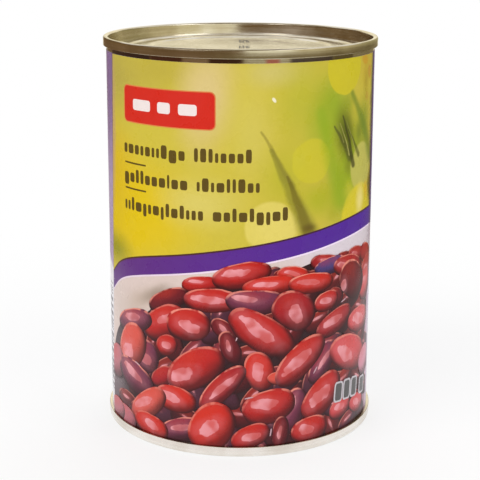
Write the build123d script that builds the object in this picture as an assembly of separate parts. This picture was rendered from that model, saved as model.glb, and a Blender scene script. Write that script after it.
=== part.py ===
from build123d import *

import math
import os

# A shut three-piece food can with a paper label, standing upright on its lower seam.
# Millimetres.  Z is up along the can's axis, the origin is on that axis at the floor,
# and the front of the label faces -Y.
#
# Pieces:
#   body        the tinplate side wall and what it is filled with, one solid
#   top_end     the upper tinplate end, rolled on with its double seam
#   bottom_end  the lower end, the same pressing turned over
#   label       the paper wrap, glued where its ends overlap

# ---------------------------------------------------------------- driving dimensions
can_height = 109.0        # over both seams
body_diameter = 74.0      # outside of the side wall
seam_overhang = 1.0       # how far a rolled seam stands out from the wall
seam_height = 2.7         # of each rolled seam
seam_width = 1.35         # radial thickness of a seam at its crest
plate = 0.2               # tinplate thickness
fit_gap = 0.05            # clearance between an end's plug and the side wall

seam_crest_radius = 0.5   # rounding of the crest's two edges, either side of its flat land
seam_skirt_radius = 0.35  # rounding of the seam's lower outer edge

panel_depth = 3.75        # seam crest down to the floor of the countersink groove
groove_width = 1.5        # countersink groove between the chuck wall and the panel
chuck_taper = 0.35        # how far the chuck wall leans inwards over its depth
end_thickness = 0.5       # of the end under the groove, filled solid to a flat inside

ring_widths = (3.2, 3.4, 3.4)      # pressed rings of the panel, from the groove inwards
ring_heights = (0.75, 0.35, 0.8)   # face of each ring above the groove's floor
ring_slope = 0.6                   # radial run of the slope between two levels
panel_centre_height = 0.45         # flat middle of the panel above the groove's floor

label_thickness = 0.12    # of one layer of paper
label_gap = 0.05          # air between the wall and the paper
label_margin_top = 0.95   # bare wall between the upper seam and the paper
label_margin_bottom = 0.25    # and between the paper and the lower seam
lap_width = 12.0          # paper glued over paper
lap_angle = -68.0         # degrees round from the front, where the outer edge of the lap shows
lap_ramp = 5.0            # length over which the outer layer climbs on to the inner one

# ---------------------------------------------------------------- worked out from them
body_radius = body_diameter / 2
bore_radius = body_radius - plate
seam_radius = body_radius + seam_overhang
crest_inner_radius = seam_radius - seam_width
groove_outer_radius = crest_inner_radius - chuck_taper
plug_radius = bore_radius - fit_gap
seat_depth = panel_depth + end_thickness

label_inner_radius = body_radius + label_gap
label_bottom = seam_height + label_margin_bottom
label_top = can_height - seam_height - label_margin_top


def round_about(radius, degrees):
    """The point at this radius, so many degrees round from the front (-Y) towards +X."""
    turn = math.radians(degrees)
    return (radius * math.sin(turn), -radius * math.cos(turn))


def panel_outline():
    """Radius and height of the pressed rings, from the groove's inner edge to the axis."""
    floor = -panel_depth
    radius = groove_outer_radius - groove_width
    points = [(radius, floor)]
    for width, height in zip(ring_widths, ring_heights):
        points.append((radius - ring_slope, floor + height))
        radius -= width
        points.append((radius, floor + height))
    points.append((radius - ring_slope, floor + panel_centre_height))
    points.append((0, floor + panel_centre_height))
    return points


def end_solid():
    """One end with its seam, the crest at height 0 and the can below it."""
    outline = panel_outline()
    with BuildPart() as part:
        with BuildSketch(Plane.XZ):
            with BuildLine():
                Polyline(*outline)
                Line(outline[0], (groove_outer_radius, -panel_depth))
                Line((groove_outer_radius, -panel_depth), (crest_inner_radius, -seam_crest_radius))
                RadiusArc(
                    (crest_inner_radius, -seam_crest_radius),
                    (crest_inner_radius + seam_crest_radius, 0),
                    seam_crest_radius,
                )
                Line((crest_inner_radius + seam_crest_radius, 0), (seam_radius - seam_crest_radius, 0))
                RadiusArc(
                    (seam_radius - seam_crest_radius, 0),
                    (seam_radius, -seam_crest_radius),
                    seam_crest_radius,
                )
                Line((seam_radius, -seam_crest_radius), (seam_radius, seam_skirt_radius - seam_height))
                RadiusArc(
                    (seam_radius, seam_skirt_radius - seam_height),
                    (seam_radius - seam_skirt_radius, -seam_height),
                    seam_skirt_radius,
                )
                Polyline(
                    (seam_radius - seam_skirt_radius, -seam_height),
                    (plug_radius, -seam_height),
                    (plug_radius, -seat_depth),
                    (0, -seat_depth),
                    outline[-1],
                )
            make_face()
        revolve(axis=Axis.Z)
    return part.part


def body_solid():
    """The filled side wall, recessed at both ends for the plugs of the two ends."""
    wall_bottom = seam_height
    wall_top = can_height - seam_height
    recess = seat_depth - seam_height
    with BuildPart() as part:
        with Locations((0, 0, wall_bottom)):
            Cylinder(body_radius, wall_top - wall_bottom, align=(Align.CENTER, Align.CENTER, Align.MIN))
        with Locations((0, 0, wall_bottom), (0, 0, wall_top - recess)):
            Cylinder(
                bore_radius,
                recess,
                align=(Align.CENTER, Align.CENTER, Align.MIN),
                mode=Mode.SUBTRACT,
            )
    return part.part


def label_solid():
    """The paper wrap: one layer all round, and two where its ends are glued."""
    single = label_inner_radius + label_thickness
    double = single + label_thickness
    lap_degrees = math.degrees(lap_width / single)
    ramp_degrees = math.degrees(lap_ramp / single)
    lap_end = lap_angle + lap_degrees
    ramp_end = lap_end + ramp_degrees
    round_end = lap_angle + 360
    with BuildPart() as part:
        with BuildSketch(Plane.XY.offset(label_bottom)):
            with BuildLine():
                Line(round_about(single, lap_angle), round_about(double, lap_angle))
                ThreePointArc(
                    round_about(double, lap_angle),
                    round_about(double, (lap_angle + lap_end) / 2),
                    round_about(double, lap_end),
                )
                ThreePointArc(
                    round_about(double, lap_end),
                    round_about((single + double) / 2, (lap_end + ramp_end) / 2),
                    round_about(single, ramp_end),
                )
                ThreePointArc(
                    round_about(single, ramp_end),
                    round_about(single, (ramp_end + round_end) / 2),
                    round_about(single, round_end),
                )
            make_face()
            Circle(label_inner_radius, mode=Mode.SUBTRACT)
        extrude(amount=label_top - label_bottom)
    return part.part


def build():
    """Every piece by its name, in place."""
    end = end_solid()
    return {
        "body": body_solid(),
        "top_end": Pos(0, 0, can_height) * end,
        "bottom_end": Rot(180, 0, 0) * end,
        "label": label_solid(),
    }


os.makedirs("parts", exist_ok=True)
for name, solid in build().items():
    export_step(solid, f"parts/{name}.step")
    print(name, round(solid.volume, 1), solid.bounding_box())
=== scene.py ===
"""Looks of a shut food can: its tinplate, its glued paper label and the print on that label.

The label is laid out flat, as a printer lays it out: x runs round the can from the middle of the
front, y runs up the can, and z is height above the paper.  One node group then wraps the paper and
every patch of ink round the can, so that whatever is printed follows the same curve and the same lap.
"""

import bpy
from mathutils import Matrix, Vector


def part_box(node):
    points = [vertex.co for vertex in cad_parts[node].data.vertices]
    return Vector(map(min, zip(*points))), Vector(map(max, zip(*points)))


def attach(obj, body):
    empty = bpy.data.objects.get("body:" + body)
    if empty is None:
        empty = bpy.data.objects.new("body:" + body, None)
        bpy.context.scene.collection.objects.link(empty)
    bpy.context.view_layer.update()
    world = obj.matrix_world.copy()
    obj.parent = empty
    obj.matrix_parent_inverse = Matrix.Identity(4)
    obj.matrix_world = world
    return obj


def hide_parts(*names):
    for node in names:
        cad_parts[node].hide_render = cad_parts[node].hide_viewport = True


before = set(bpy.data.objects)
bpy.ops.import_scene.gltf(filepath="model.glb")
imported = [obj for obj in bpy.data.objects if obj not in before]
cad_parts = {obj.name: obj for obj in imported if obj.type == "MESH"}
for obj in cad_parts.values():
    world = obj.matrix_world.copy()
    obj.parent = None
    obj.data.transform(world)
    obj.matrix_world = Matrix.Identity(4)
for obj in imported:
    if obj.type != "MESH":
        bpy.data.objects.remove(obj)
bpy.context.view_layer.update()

import logging
import math
import random
from dataclasses import dataclass
from enum import Enum
from functools import cache, partial, reduce
from itertools import product
from typing import Any, Sequence

import bmesh
import bpy
from mathutils import Euler, Matrix, Vector, geometry

LOG = logging.getLogger("can")
MM = 0.001
BODY = "root"
BAKE_MAP = "OFBake"
CUT_SPACING = 1.0   # mm round the can between the edges that let a flat patch bend
ROW_SPACING = 8.0   # mm up the can between the edges that let it follow the leaning lap
CUT_SLACK = 1e-5    # mm within which an edge counts as lying on a cut
WELD = 1e-4         # mm under which two points of a film are one
SMOOTH_ANGLE = math.radians(35)
HIDDEN_STRIP = 0.02  # share of a film's map that is kept for its back and edges
HIDDEN_FILL = 0.8   # how much of that strip they fill
FACE_REACH = 0.46   # half the share of a bean's map that its face takes
SIDE_REACH = 1.04   # how far its side reaches past its back on the map
BEAN_GAP = 0.3      # mm between two beans that already counts as an overlap
FILM_STEP = 0.008   # mm that one print lies over another, enough to clear its bent facets
PAPER_DROP = 0.17   # mm that the paper hangs lower than in the CAD, down to the lower seam

Point = tuple[float, float]
Place = tuple[float, float, float]
Loop = list[Point]
Colour = tuple[float, float, float, float]
Socket = bpy.types.NodeSocket
Nodes = bpy.types.NodeTree
Mesh = bpy.types.Mesh
Piece = bpy.types.Object


def ink(red: int, green: int, blue: int) -> Colour:
    """Turn screen values into a colour for a shader.

    Args:
        red: from 0 to 255, as it should look in plain light.
        green: from 0 to 255.
        blue: from 0 to 255.

    Returns:
        The linear colour with full alpha.
    """
    def linear(value: int) -> float:
        """One channel, made linear."""
        share = value / 255
        return share / 12.92 if share <= 0.04045 else ((share + 0.055) / 1.055) ** 2.4

    return (linear(red), linear(green), linear(blue), 1.0)


# ---- outlines


def smooth_line(points: Sequence[Point], steps: int = 8) -> Loop:
    """Draw a smooth open line through points.

    Args:
        points: the points it passes through, in order.
        steps: pieces between one point and the next.

    Returns:
        The line's points, both ends included.
    """
    padded = [points[0], *points, points[-1]]
    line = []
    for before, start, end, after in zip(padded, padded[1:], padded[2:], padded[3:]):
        for step in range(steps):
            t = step / steps
            line.append(tuple(
                0.5 * (2 * b + (c - a) * t + (2 * a - 5 * b + 4 * c - d) * t ** 2
                       + (3 * b - a - 3 * c + d) * t ** 3)
                for a, b, c, d in zip(before, start, end, after)
            ))
    line.append(tuple(points[-1]))
    return line


def rounded_box(
    x: float, y: float, width: float, height: float, radius: float, steps: int = 4
) -> Loop:
    """Outline a rectangle with round corners.

    Args:
        x: its middle.
        y: its middle.
        width: along x.
        height: along y.
        radius: of its corners.
        steps: pieces of each corner's arc.

    Returns:
        The outline, anticlockwise.
    """
    loop = []
    for quarter in range(4):
        start = quarter * math.pi / 2
        middle = start + math.pi / 4
        corner_x = x + math.copysign(width / 2 - radius, math.cos(middle))
        corner_y = y + math.copysign(height / 2 - radius, math.sin(middle))
        for step in range(steps + 1):
            angle = start + step / steps * math.pi / 2
            loop.append((corner_x + radius * math.cos(angle), corner_y + radius * math.sin(angle)))
    return loop


# ---- node trees


class Tree:
    """A node tree written as expressions: each call adds a node and hands back its output."""

    def __init__(self, tree: Nodes) -> None:
        """Wrap a tree of shader or geometry nodes."""
        self.tree = tree

    def feed(self, socket: Socket, value: Any) -> None:
        """Link a socket to an input, or set the input's value.

        Args:
            socket: the input.
            value: another node's output, a plain value, or None to leave the input alone.
        """
        if isinstance(value, Socket):
            self.tree.links.new(value, socket)
        elif value is not None:
            socket.default_value = value

    def add(self, kind: str, *feeds: Any, out: int | str = 0, **settings: Any) -> Socket:
        """Add a node.

        Args:
            kind: the node's type.
            feeds: values or sockets for its inputs in their order.
            out: which of its outputs to hand back.
            settings: the node's own properties.

        Returns:
            The chosen output.
        """
        node = self.tree.nodes.new(kind)
        for name, value in settings.items():
            setattr(node, name, value)
        for socket, value in zip([one for one in node.inputs if one.enabled], feeds):
            self.feed(socket, value)
        if isinstance(out, str):
            return node.outputs[out]
        return [one for one in node.outputs if one.enabled][out]

    def math(self, operation: str, *feeds: Any) -> Socket:
        """The result of one operation on numbers."""
        return self.add("ShaderNodeMath", *feeds, operation=operation)

    def sum(self, *feeds: Any) -> Socket:
        """All the feeds added up."""
        return reduce(partial(self.math, "ADD"), feeds)

    def product(self, *feeds: Any) -> Socket:
        """All the feeds multiplied."""
        return reduce(partial(self.math, "MULTIPLY"), feeds)

    def less(self, a: Any, b: Any) -> Socket:
        """The first feed minus the second."""
        return self.math("SUBTRACT", a, b)

    def vector(self, operation: str, *feeds: Any) -> Socket:
        """The result of one operation on vectors."""
        return self.add("ShaderNodeVectorMath", *feeds, operation=operation)

    def split(self, vector: Socket) -> tuple[Socket, Socket, Socket]:
        """The three parts of a vector."""
        return tuple(self.add("ShaderNodeSeparateXYZ", vector).node.outputs)

    def join(self, x: Any, y: Any, z: Any) -> Socket:
        """A vector of three parts."""
        return self.add("ShaderNodeCombineXYZ", x, y, z)

    def soft(self, value: Any, start: Any, end: Any, low: Any = 0.0, high: Any = 1.0) -> Socket:
        """Go smoothly from low to high, and no further, as the value goes from start to end."""
        feeds = (value, start, end, low, high)
        return self.add("ShaderNodeMapRange", *feeds, interpolation_type="SMOOTHSTEP")

    def mix(self, share: Any, first: Any, second: Any, blend: str = "MIX") -> Socket:
        """Two colours, mixed by the share of the second."""
        return self.add("ShaderNodeMix", share, first, second, data_type="RGBA", blend_type=blend)

    def noise(self, place: Any, scale: float, detail: float = 2.0, roughness: float = 0.5) -> Socket:
        """Soft noise around 0.5 at a place."""
        return self.add("ShaderNodeTexNoise", place, scale, detail, roughness)

    def attribute(self, name: str, out: str = "Fac") -> Socket:
        """One of the piece's own attributes, in a material."""
        return self.add("ShaderNodeAttribute", attribute_name=name, out=out)

    def turned(self, x: Socket, y: Socket, start: Point, right: Point) -> tuple[Socket, Socket]:
        """Measure a place from a start, along a direction and across it.

        Args:
            x: the place.
            y: the place.
            start: where both measures are 0.
            right: the direction, of length 1.

        Returns:
            How far the place is along the direction, and across it.
        """
        (from_x, from_y), (cosine, sine) = start, right
        along = self.math("MULTIPLY_ADD", x, cosine, -from_x * cosine - from_y * sine)
        across = self.math("MULTIPLY_ADD", x, -sine, from_x * sine - from_y * cosine)
        return self.math("MULTIPLY_ADD", y, sine, along), self.math("MULTIPLY_ADD", y, cosine, across)

    def show(self, shader: Socket) -> None:
        """Lead a shader out of a material's tree."""
        self.feed(self.tree.nodes.new("ShaderNodeOutputMaterial").inputs[0], shader)


class GeometryTree(Tree):
    """A tree of geometry nodes with named inputs."""

    def __init__(self, name: str, inputs: dict[str, str]) -> None:
        """Start an empty tree.

        Args:
            name: the tree's name.
            inputs: the kind of socket of each input by its name, after the geometry.
        """
        super().__init__(bpy.data.node_groups.new(name, "GeometryNodeTree"))
        face = self.tree.interface
        face.new_socket("Geometry", in_out="OUTPUT", socket_type="NodeSocketGeometry")
        for label, kind in {"Geometry": "Geometry", **inputs}.items():
            face.new_socket(label, in_out="INPUT", socket_type="NodeSocket" + kind)
        self.inputs = self.tree.nodes.new("NodeGroupInput")

    def given(self, name: str) -> Socket:
        """The named input, inside the tree."""
        return self.inputs.outputs[name]

    def named(self, name: str, kind: str = "FLOAT") -> Socket:
        """One of the geometry's named attributes."""
        return self.add("GeometryNodeInputNamedAttribute", name, data_type=kind)

    def store(self, geometry_in: Socket, name: str, value: Socket, kind: str, domain: str) -> Socket:
        """Keep a value on the geometry under a name.

        Args:
            geometry_in: what it is kept on.
            name: the attribute's name.
            value: what is kept.
            kind: its data type.
            domain: on points or corners.

        Returns:
            The geometry with the attribute.
        """
        return self.add(
            "GeometryNodeStoreNamedAttribute", geometry_in, None, name, value, data_type=kind, domain=domain
        )

    def end(self, result: Socket) -> Nodes:
        """Lead the result out of the tree, and hand back the tree."""
        self.feed(self.tree.nodes.new("NodeGroupOutput").inputs[0], result)
        return self.tree

    def end_dressed(self, shape: Socket) -> Nodes:
        """Make the shape real, give it the tree's material, and end the tree with it."""
        real = self.add("GeometryNodeRealizeInstances", shape)
        return self.end(self.add("GeometryNodeSetMaterial", real, None, self.given("Material")))


def evaluate(mesh: Mesh, tree: Nodes, feeds: dict[str, Any]) -> Mesh:
    """Run a geometry tree on a mesh.

    Args:
        mesh: what the tree starts from.
        tree: the geometry tree.
        feeds: values by the names of the tree's inputs.

    Returns:
        The result as a plain mesh, with the modifier gone.
    """
    seed = bpy.data.objects.new(mesh.name + "_seed", mesh)
    bpy.context.scene.collection.objects.link(seed)
    modifier = seed.modifiers.new("grow", "NODES")
    modifier.node_group = tree
    for item in tree.interface.items_tree:
        if item.in_out == "INPUT" and item.name in feeds:
            modifier[item.identifier] = feeds[item.name]
    graph = bpy.context.evaluated_depsgraph_get()
    plain = bpy.data.meshes.new_from_object(
        seed.evaluated_get(graph), preserve_all_data_layers=True, depsgraph=graph
    )
    bpy.data.objects.remove(seed)
    return plain


def grow(mesh: Mesh, name: str, tree: Nodes, feeds: dict[str, Any]) -> Piece:
    """Run a geometry tree on a mesh and make a finished piece of the result.

    Args:
        mesh: what the tree starts from.
        name: the finished piece's name.
        tree: the geometry tree.
        feeds: values by the names of the tree's inputs.

    Returns:
        The finished piece, at the origin, with no modifier.
    """
    plain = evaluate(mesh, tree, feeds)
    plain.name = name
    plain.shade_smooth()
    plain.set_sharp_from_angle(angle=SMOOTH_ANGLE)
    piece = bpy.data.objects.new(name, plain)
    bpy.context.scene.collection.objects.link(piece)
    return piece


# ---- flat patches


def marks_between(low: float, high: float, spacing: float) -> list[float]:
    """Whole multiples of a spacing that lie between two values."""
    steps = range(math.ceil(low / spacing), math.floor(high / spacing) + 1)
    return [step * spacing for step in steps]


def flat_film(name: str, outlines: Sequence[Sequence[Loop]], top: float, depth: float,
              spacing: float = CUT_SPACING, rows: float | None = ROW_SPACING) -> Mesh:
    """Make a thin closed film from flat outlines, cut across so that it can bend.

    Args:
        name: the mesh's name.
        outlines: for each patch its outer loop, then any holes, in mm.
        top: height of its upper face, in mm.
        depth: its thickness, in mm.
        spacing: distance between the upright cuts, in mm.
        rows: distance between the level cuts, in mm, or None for no such cuts.

    Returns:
        The mesh in metres, with a map over its own width and height.
    """
    work = bmesh.new()
    for loops in outlines:
        corners = [[Vector((x, y, 0)) for x, y in loop] for loop in loops]
        verts = [work.verts.new(corner) for loop in corners for corner in loop]
        for triangle in geometry.tessellate_polygon(corners):
            work.faces.new([verts[index] for index in triangle])
    low_x = min(vert.co.x for vert in work.verts)
    high_x = max(vert.co.x for vert in work.verts)
    low_y = min(vert.co.y for vert in work.verts)
    high_y = max(vert.co.y for vert in work.verts)
    cuts = [((place, 0, 0), (1, 0, 0)) for place in marks_between(low_x, high_x, spacing)]
    if rows:
        cuts += [((0, place, 0), (0, 1, 0)) for place in marks_between(low_y, high_y, rows)]
    for place, across in cuts:
        parts = [*work.verts, *work.edges, *work.faces]
        bmesh.ops.bisect_plane(work, geom=parts, plane_co=place, plane_no=across, dist=CUT_SLACK)
    bmesh.ops.remove_doubles(work, verts=work.verts, dist=WELD)
    bmesh.ops.recalc_face_normals(work, faces=work.faces)
    if sum(face.normal.z for face in work.faces) < 0:
        bmesh.ops.reverse_faces(work, faces=work.faces)
    lifted = bmesh.ops.extrude_face_region(work, geom=work.faces[:])["geom"]
    for part in lifted:
        if isinstance(part, bmesh.types.BMVert):
            part.co.z = depth
    bmesh.ops.recalc_face_normals(work, faces=work.faces)
    sheet_map = work.loops.layers.uv.new(BAKE_MAP)
    for face in work.faces:
        front = face.normal.z > 0.5
        base, share = (HIDDEN_STRIP, 1 - HIDDEN_STRIP) if front else (0.0, HIDDEN_FILL * HIDDEN_STRIP)
        for corner in face.loops:
            place = corner.vert.co
            across = (place.x - low_x) / (high_x - low_x)
            corner[sheet_map].uv = (across, base + share * (place.y - low_y) / (high_y - low_y))
    for vert in work.verts:
        vert.co = (vert.co + Vector((0, 0, top - depth))) * MM
    mesh = bpy.data.meshes.new(name)
    work.to_mesh(mesh)
    work.free()
    return mesh


@dataclass(frozen=True)
class CanFrame:
    """The can's main sizes in mm, read from the CAD model."""

    height: float
    seam_radius: float
    seam_height: float
    wall_radius: float
    paper_radius: float
    paper_low: float
    paper_high: float

    @classmethod
    def read(cls) -> "CanFrame":
        """Measure the CAD nodes.

        Returns:
            The sizes.
        """
        def reach(node: str) -> tuple[Vector, Vector]:
            """Both corners of a node's box, in mm."""
            low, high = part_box(node)
            return low / MM, high / MM

        end_high, wall_high = reach("top_end")[1], reach("body")[1]
        paper_low, paper_high = reach("label")
        return cls(
            height=end_high.z,
            seam_radius=end_high.x,
            seam_height=end_high.z - wall_high.z,
            wall_radius=wall_high.x,
            paper_radius=paper_high.x,
            paper_low=paper_low.z - PAPER_DROP,
            paper_high=paper_high.z,
        )


@dataclass(frozen=True)
class LabelSheet:
    """The label as it is laid out flat, and how it goes round the can.

    Sizes are in mm.  The outer end of the paper starts at lap_edge, leans a little, and is glued
    over the inner end.
    """

    can: CanFrame
    thickness: float = 0.12
    lap_edge: float = -44.6
    lap_lean: float = 0.042
    lap_width: float = 12.0
    lap_ramp: float = 5.0
    lap_lift: float = 0.17
    curl_lift: float = 0.16
    curl_reach: float = 3.0
    panel_right: float = 48.9

    @property
    def middle(self) -> float:
        """Height of the label's middle."""
        return (self.can.paper_low + self.can.paper_high) / 2

    @property
    def girth(self) -> float:
        """Length once round the paper."""
        return 2 * math.pi * self.can.paper_radius

    def left(self, y: float) -> float:
        """Where the outer end of the paper starts at this height."""
        return self.lap_edge + (y - self.middle) * self.lap_lean

    def wrap_sizes(self) -> dict[str, float]:
        """Gather the sizes that wrap the label.

        Returns:
            The sizes in metres, by the names of the wrapping group's inputs.
        """
        return {
            "Radius": self.can.paper_radius * MM,
            "Middle": self.middle * MM,
            "Lap Edge": self.lap_edge * MM,
            "Lap Lean": self.lap_lean,
            "Lap Width": self.lap_width * MM,
            "Lap Ramp": self.lap_ramp * MM,
            "Lap Lift": self.lap_lift * MM,
            "Curl Lift": self.curl_lift * MM,
            "Curl Reach": self.curl_reach * MM,
        }

    def wrap_tree(self) -> Nodes:
        """Make the group of nodes that wraps flat geometry round the can.

        Returns:
            The group.
        """
        tree = GeometryTree("wrap_round_can", dict.fromkeys(self.wrap_sizes(), "Float"))
        place = tree.add("GeometryNodeInputPosition")
        x, y, z = tree.split(place)
        lean = tree.product(tree.less(y, tree.given("Middle")), tree.given("Lap Lean"))
        past_edge = tree.less(tree.less(x, lean), tree.given("Lap Edge"))
        ramp_end = tree.sum(tree.given("Lap Width"), tree.given("Lap Ramp"))
        lap = tree.soft(past_edge, tree.given("Lap Width"), ramp_end, tree.given("Lap Lift"), 0.0)
        curl = tree.soft(past_edge, 0.0, tree.given("Curl Reach"), tree.given("Curl Lift"), 0.0)
        radius = tree.sum(tree.given("Radius"), lap, curl, z)
        turn = tree.math("DIVIDE", x, tree.given("Radius"))
        across = tree.product(radius, tree.math("SINE", turn))
        towards = tree.product(radius, tree.math("COSINE", turn), -1.0)
        flat = tree.vector("SCALE", place, 1 / MM)
        kept = tree.store(tree.given("Geometry"), "sheet", flat, "FLOAT_VECTOR", "POINT")
        return tree.end(tree.add("GeometryNodeSetPosition", kept, None, tree.join(across, towards, y)))

    @cache
    def patch_tree(self) -> Nodes:
        """Make the tree for flat patches, which wraps them and gives them their ink.

        Returns:
            The tree.
        """
        tree = GeometryTree("printed_patch", {"Material": "Material"})
        wrap = tree.tree.nodes.new("GeometryNodeGroup")
        wrap.node_tree = self.wrap_tree()
        for name, value in {"Geometry": tree.given("Geometry"), **self.wrap_sizes()}.items():
            tree.feed(wrap.inputs[name], value)
        return tree.end_dressed(wrap.outputs[0])

    @cache
    def stamp_tree(self) -> Nodes:
        """Make the tree for stamps, still flat: a blank on each point, turned, scaled and bent.

        Returns:
            The tree.
        """
        tree = GeometryTree("flat_stamps", {"Blank": "Object", "Cell": "Float", "Unevenness": "Float"})
        blank = tree.add("GeometryNodeObjectInfo", tree.given("Blank"), False, out="Geometry")
        angle = tree.named("turn")
        size = tree.named("size", "FLOAT_VECTOR")
        stamps = tree.add(
            "GeometryNodeInstanceOnPoints", tree.given("Geometry"), None, blank, None, None,
            tree.join(0.0, 0.0, angle), size,
        )
        real = tree.add("GeometryNodeRealizeInstances", stamps)
        along = tree.split(tree.named("local", "FLOAT_VECTOR"))[0]
        half_width = tree.split(size)[1]
        bow = tree.product(tree.named("bend"), half_width, tree.less(1.0, tree.product(along, along)))
        bow_x = tree.product(bow, tree.math("SINE", angle), -1.0)
        bow_y = tree.product(bow, tree.math("COSINE", angle))
        rough = tree.less(tree.noise(tree.add("GeometryNodeInputPosition"), 260.0, 1.0), 0.5)
        wobble = tree.product(rough, tree.given("Unevenness"))
        aside = tree.join(tree.sum(bow_x, wobble), tree.sum(bow_y, wobble), 0.0)
        moved = tree.add("GeometryNodeSetPosition", real, None, None, aside)
        cell = tree.vector("SCALE", tree.named(BAKE_MAP, "FLOAT_VECTOR"), tree.given("Cell"))
        mapped = tree.vector("ADD", cell, tree.named("cell", "FLOAT_VECTOR"))
        return tree.end(tree.store(moved, BAKE_MAP, mapped, "FLOAT2", "CORNER"))

    def print_patch(self, name: str, outlines: Sequence[Sequence[Loop]], top: float, finish: "Finish",
                    depth: float | None = None) -> Piece:
        """Print flat outlines, in mm, and wrap them; without a depth the ink reaches the paper."""
        mesh = flat_film(name, outlines, top, top if depth is None else depth)
        return grow(mesh, name, self.patch_tree(), {"Material": finish.material()})

    def print_stamps(self, name: str, stamps: Sequence["Stamp"], blank: Piece, finish: "Finish",
                     unevenness: float = 0.0, border: "Border | None" = None) -> Piece:
        """Print many copies of one blank.

        Args:
            name: the piece's name.
            stamps: where each copy goes, and how large it is.
            blank: the shape that is copied, in units of half its size.
            finish: the ink.
            unevenness: how far outlines wander, in mm.
            border: what the copies are trimmed to, if anything.

        Returns:
            The piece.
        """
        across = math.ceil(math.sqrt(len(stamps)))
        mesh = bpy.data.meshes.new(name)
        mesh.from_pydata([(one.x * MM, one.y * MM, one.top * MM) for one in stamps], [], [])
        columns: dict[str, tuple[str, list[Any]]] = {
            "size": ("FLOAT_VECTOR", [
                (one.width / 2 * MM, one.height / 2 * MM, one.top * MM) for one in stamps
            ]),
            "turn": ("FLOAT", [math.radians(one.turn) for one in stamps]),
            "bend": ("FLOAT", [one.bend for one in stamps]),
            "cell": ("FLOAT_VECTOR", [
                ((index % across) / across, (index // across) / across, 0.0) for index in range(len(stamps))
            ]),
            "aspect": ("FLOAT", [one.height / one.width for one in stamps]),
            "tint": ("FLOAT_COLOR", [one.tint for one in stamps]),
            "gleam": ("FLOAT_VECTOR", [one.gleam for one in stamps]),
            "gleam_width": ("FLOAT", [one.gleam_width for one in stamps]),
            "rim": ("FLOAT", [one.rim for one in stamps]),
        }
        for label, (kind, values) in columns.items():
            data = mesh.attributes.new(label, kind, "POINT").data
            key = {"FLOAT": "value", "FLOAT_VECTOR": "vector", "FLOAT_COLOR": "color"}[kind]
            for item, value in zip(data, values):
                setattr(item, key, value)
        flat = evaluate(mesh, self.stamp_tree(), {
            "Blank": blank, "Cell": 1 / across, "Unevenness": unevenness * MM,
        })
        if border:
            border.trim(flat)
        return grow(flat, name, self.patch_tree(), {"Material": finish.material()})


@dataclass(frozen=True)
class Border:
    """Straight edges that a print is trimmed to, each a point and the outward direction, in mm."""

    edges: tuple[tuple[Point, Point], ...]

    def trim(self, mesh: Mesh) -> None:
        """Cut away what lies outside, and close the cuts.

        Args:
            mesh: the flat print, in metres.
        """
        work = bmesh.new()
        work.from_mesh(mesh)
        for (x, y), outward in self.edges:
            cut = bmesh.ops.bisect_plane(
                work, geom=[*work.verts, *work.edges, *work.faces], plane_co=(x * MM, y * MM, 0),
                plane_no=(*outward, 0), dist=CUT_SLACK * MM, clear_outer=True,
            )["geom_cut"]
            open_edges = [part for part in cut if isinstance(part, bmesh.types.BMEdge) and part.is_boundary]
            bmesh.ops.holes_fill(work, edges=open_edges, sides=0)
        work.to_mesh(mesh)
        work.free()


@dataclass(frozen=True)
class Stamp:
    """One copy of a blank on the label, in mm and degrees."""

    x: float
    y: float
    width: float
    height: float
    top: float = 0.02
    turn: float = 0.0
    bend: float = 0.0
    tint: Colour = (1.0, 1.0, 1.0, 1.0)
    gleam: Place = (0.0, 0.0, 0.0)
    gleam_width: float = 0.0
    rim: float = 0.0


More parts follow.
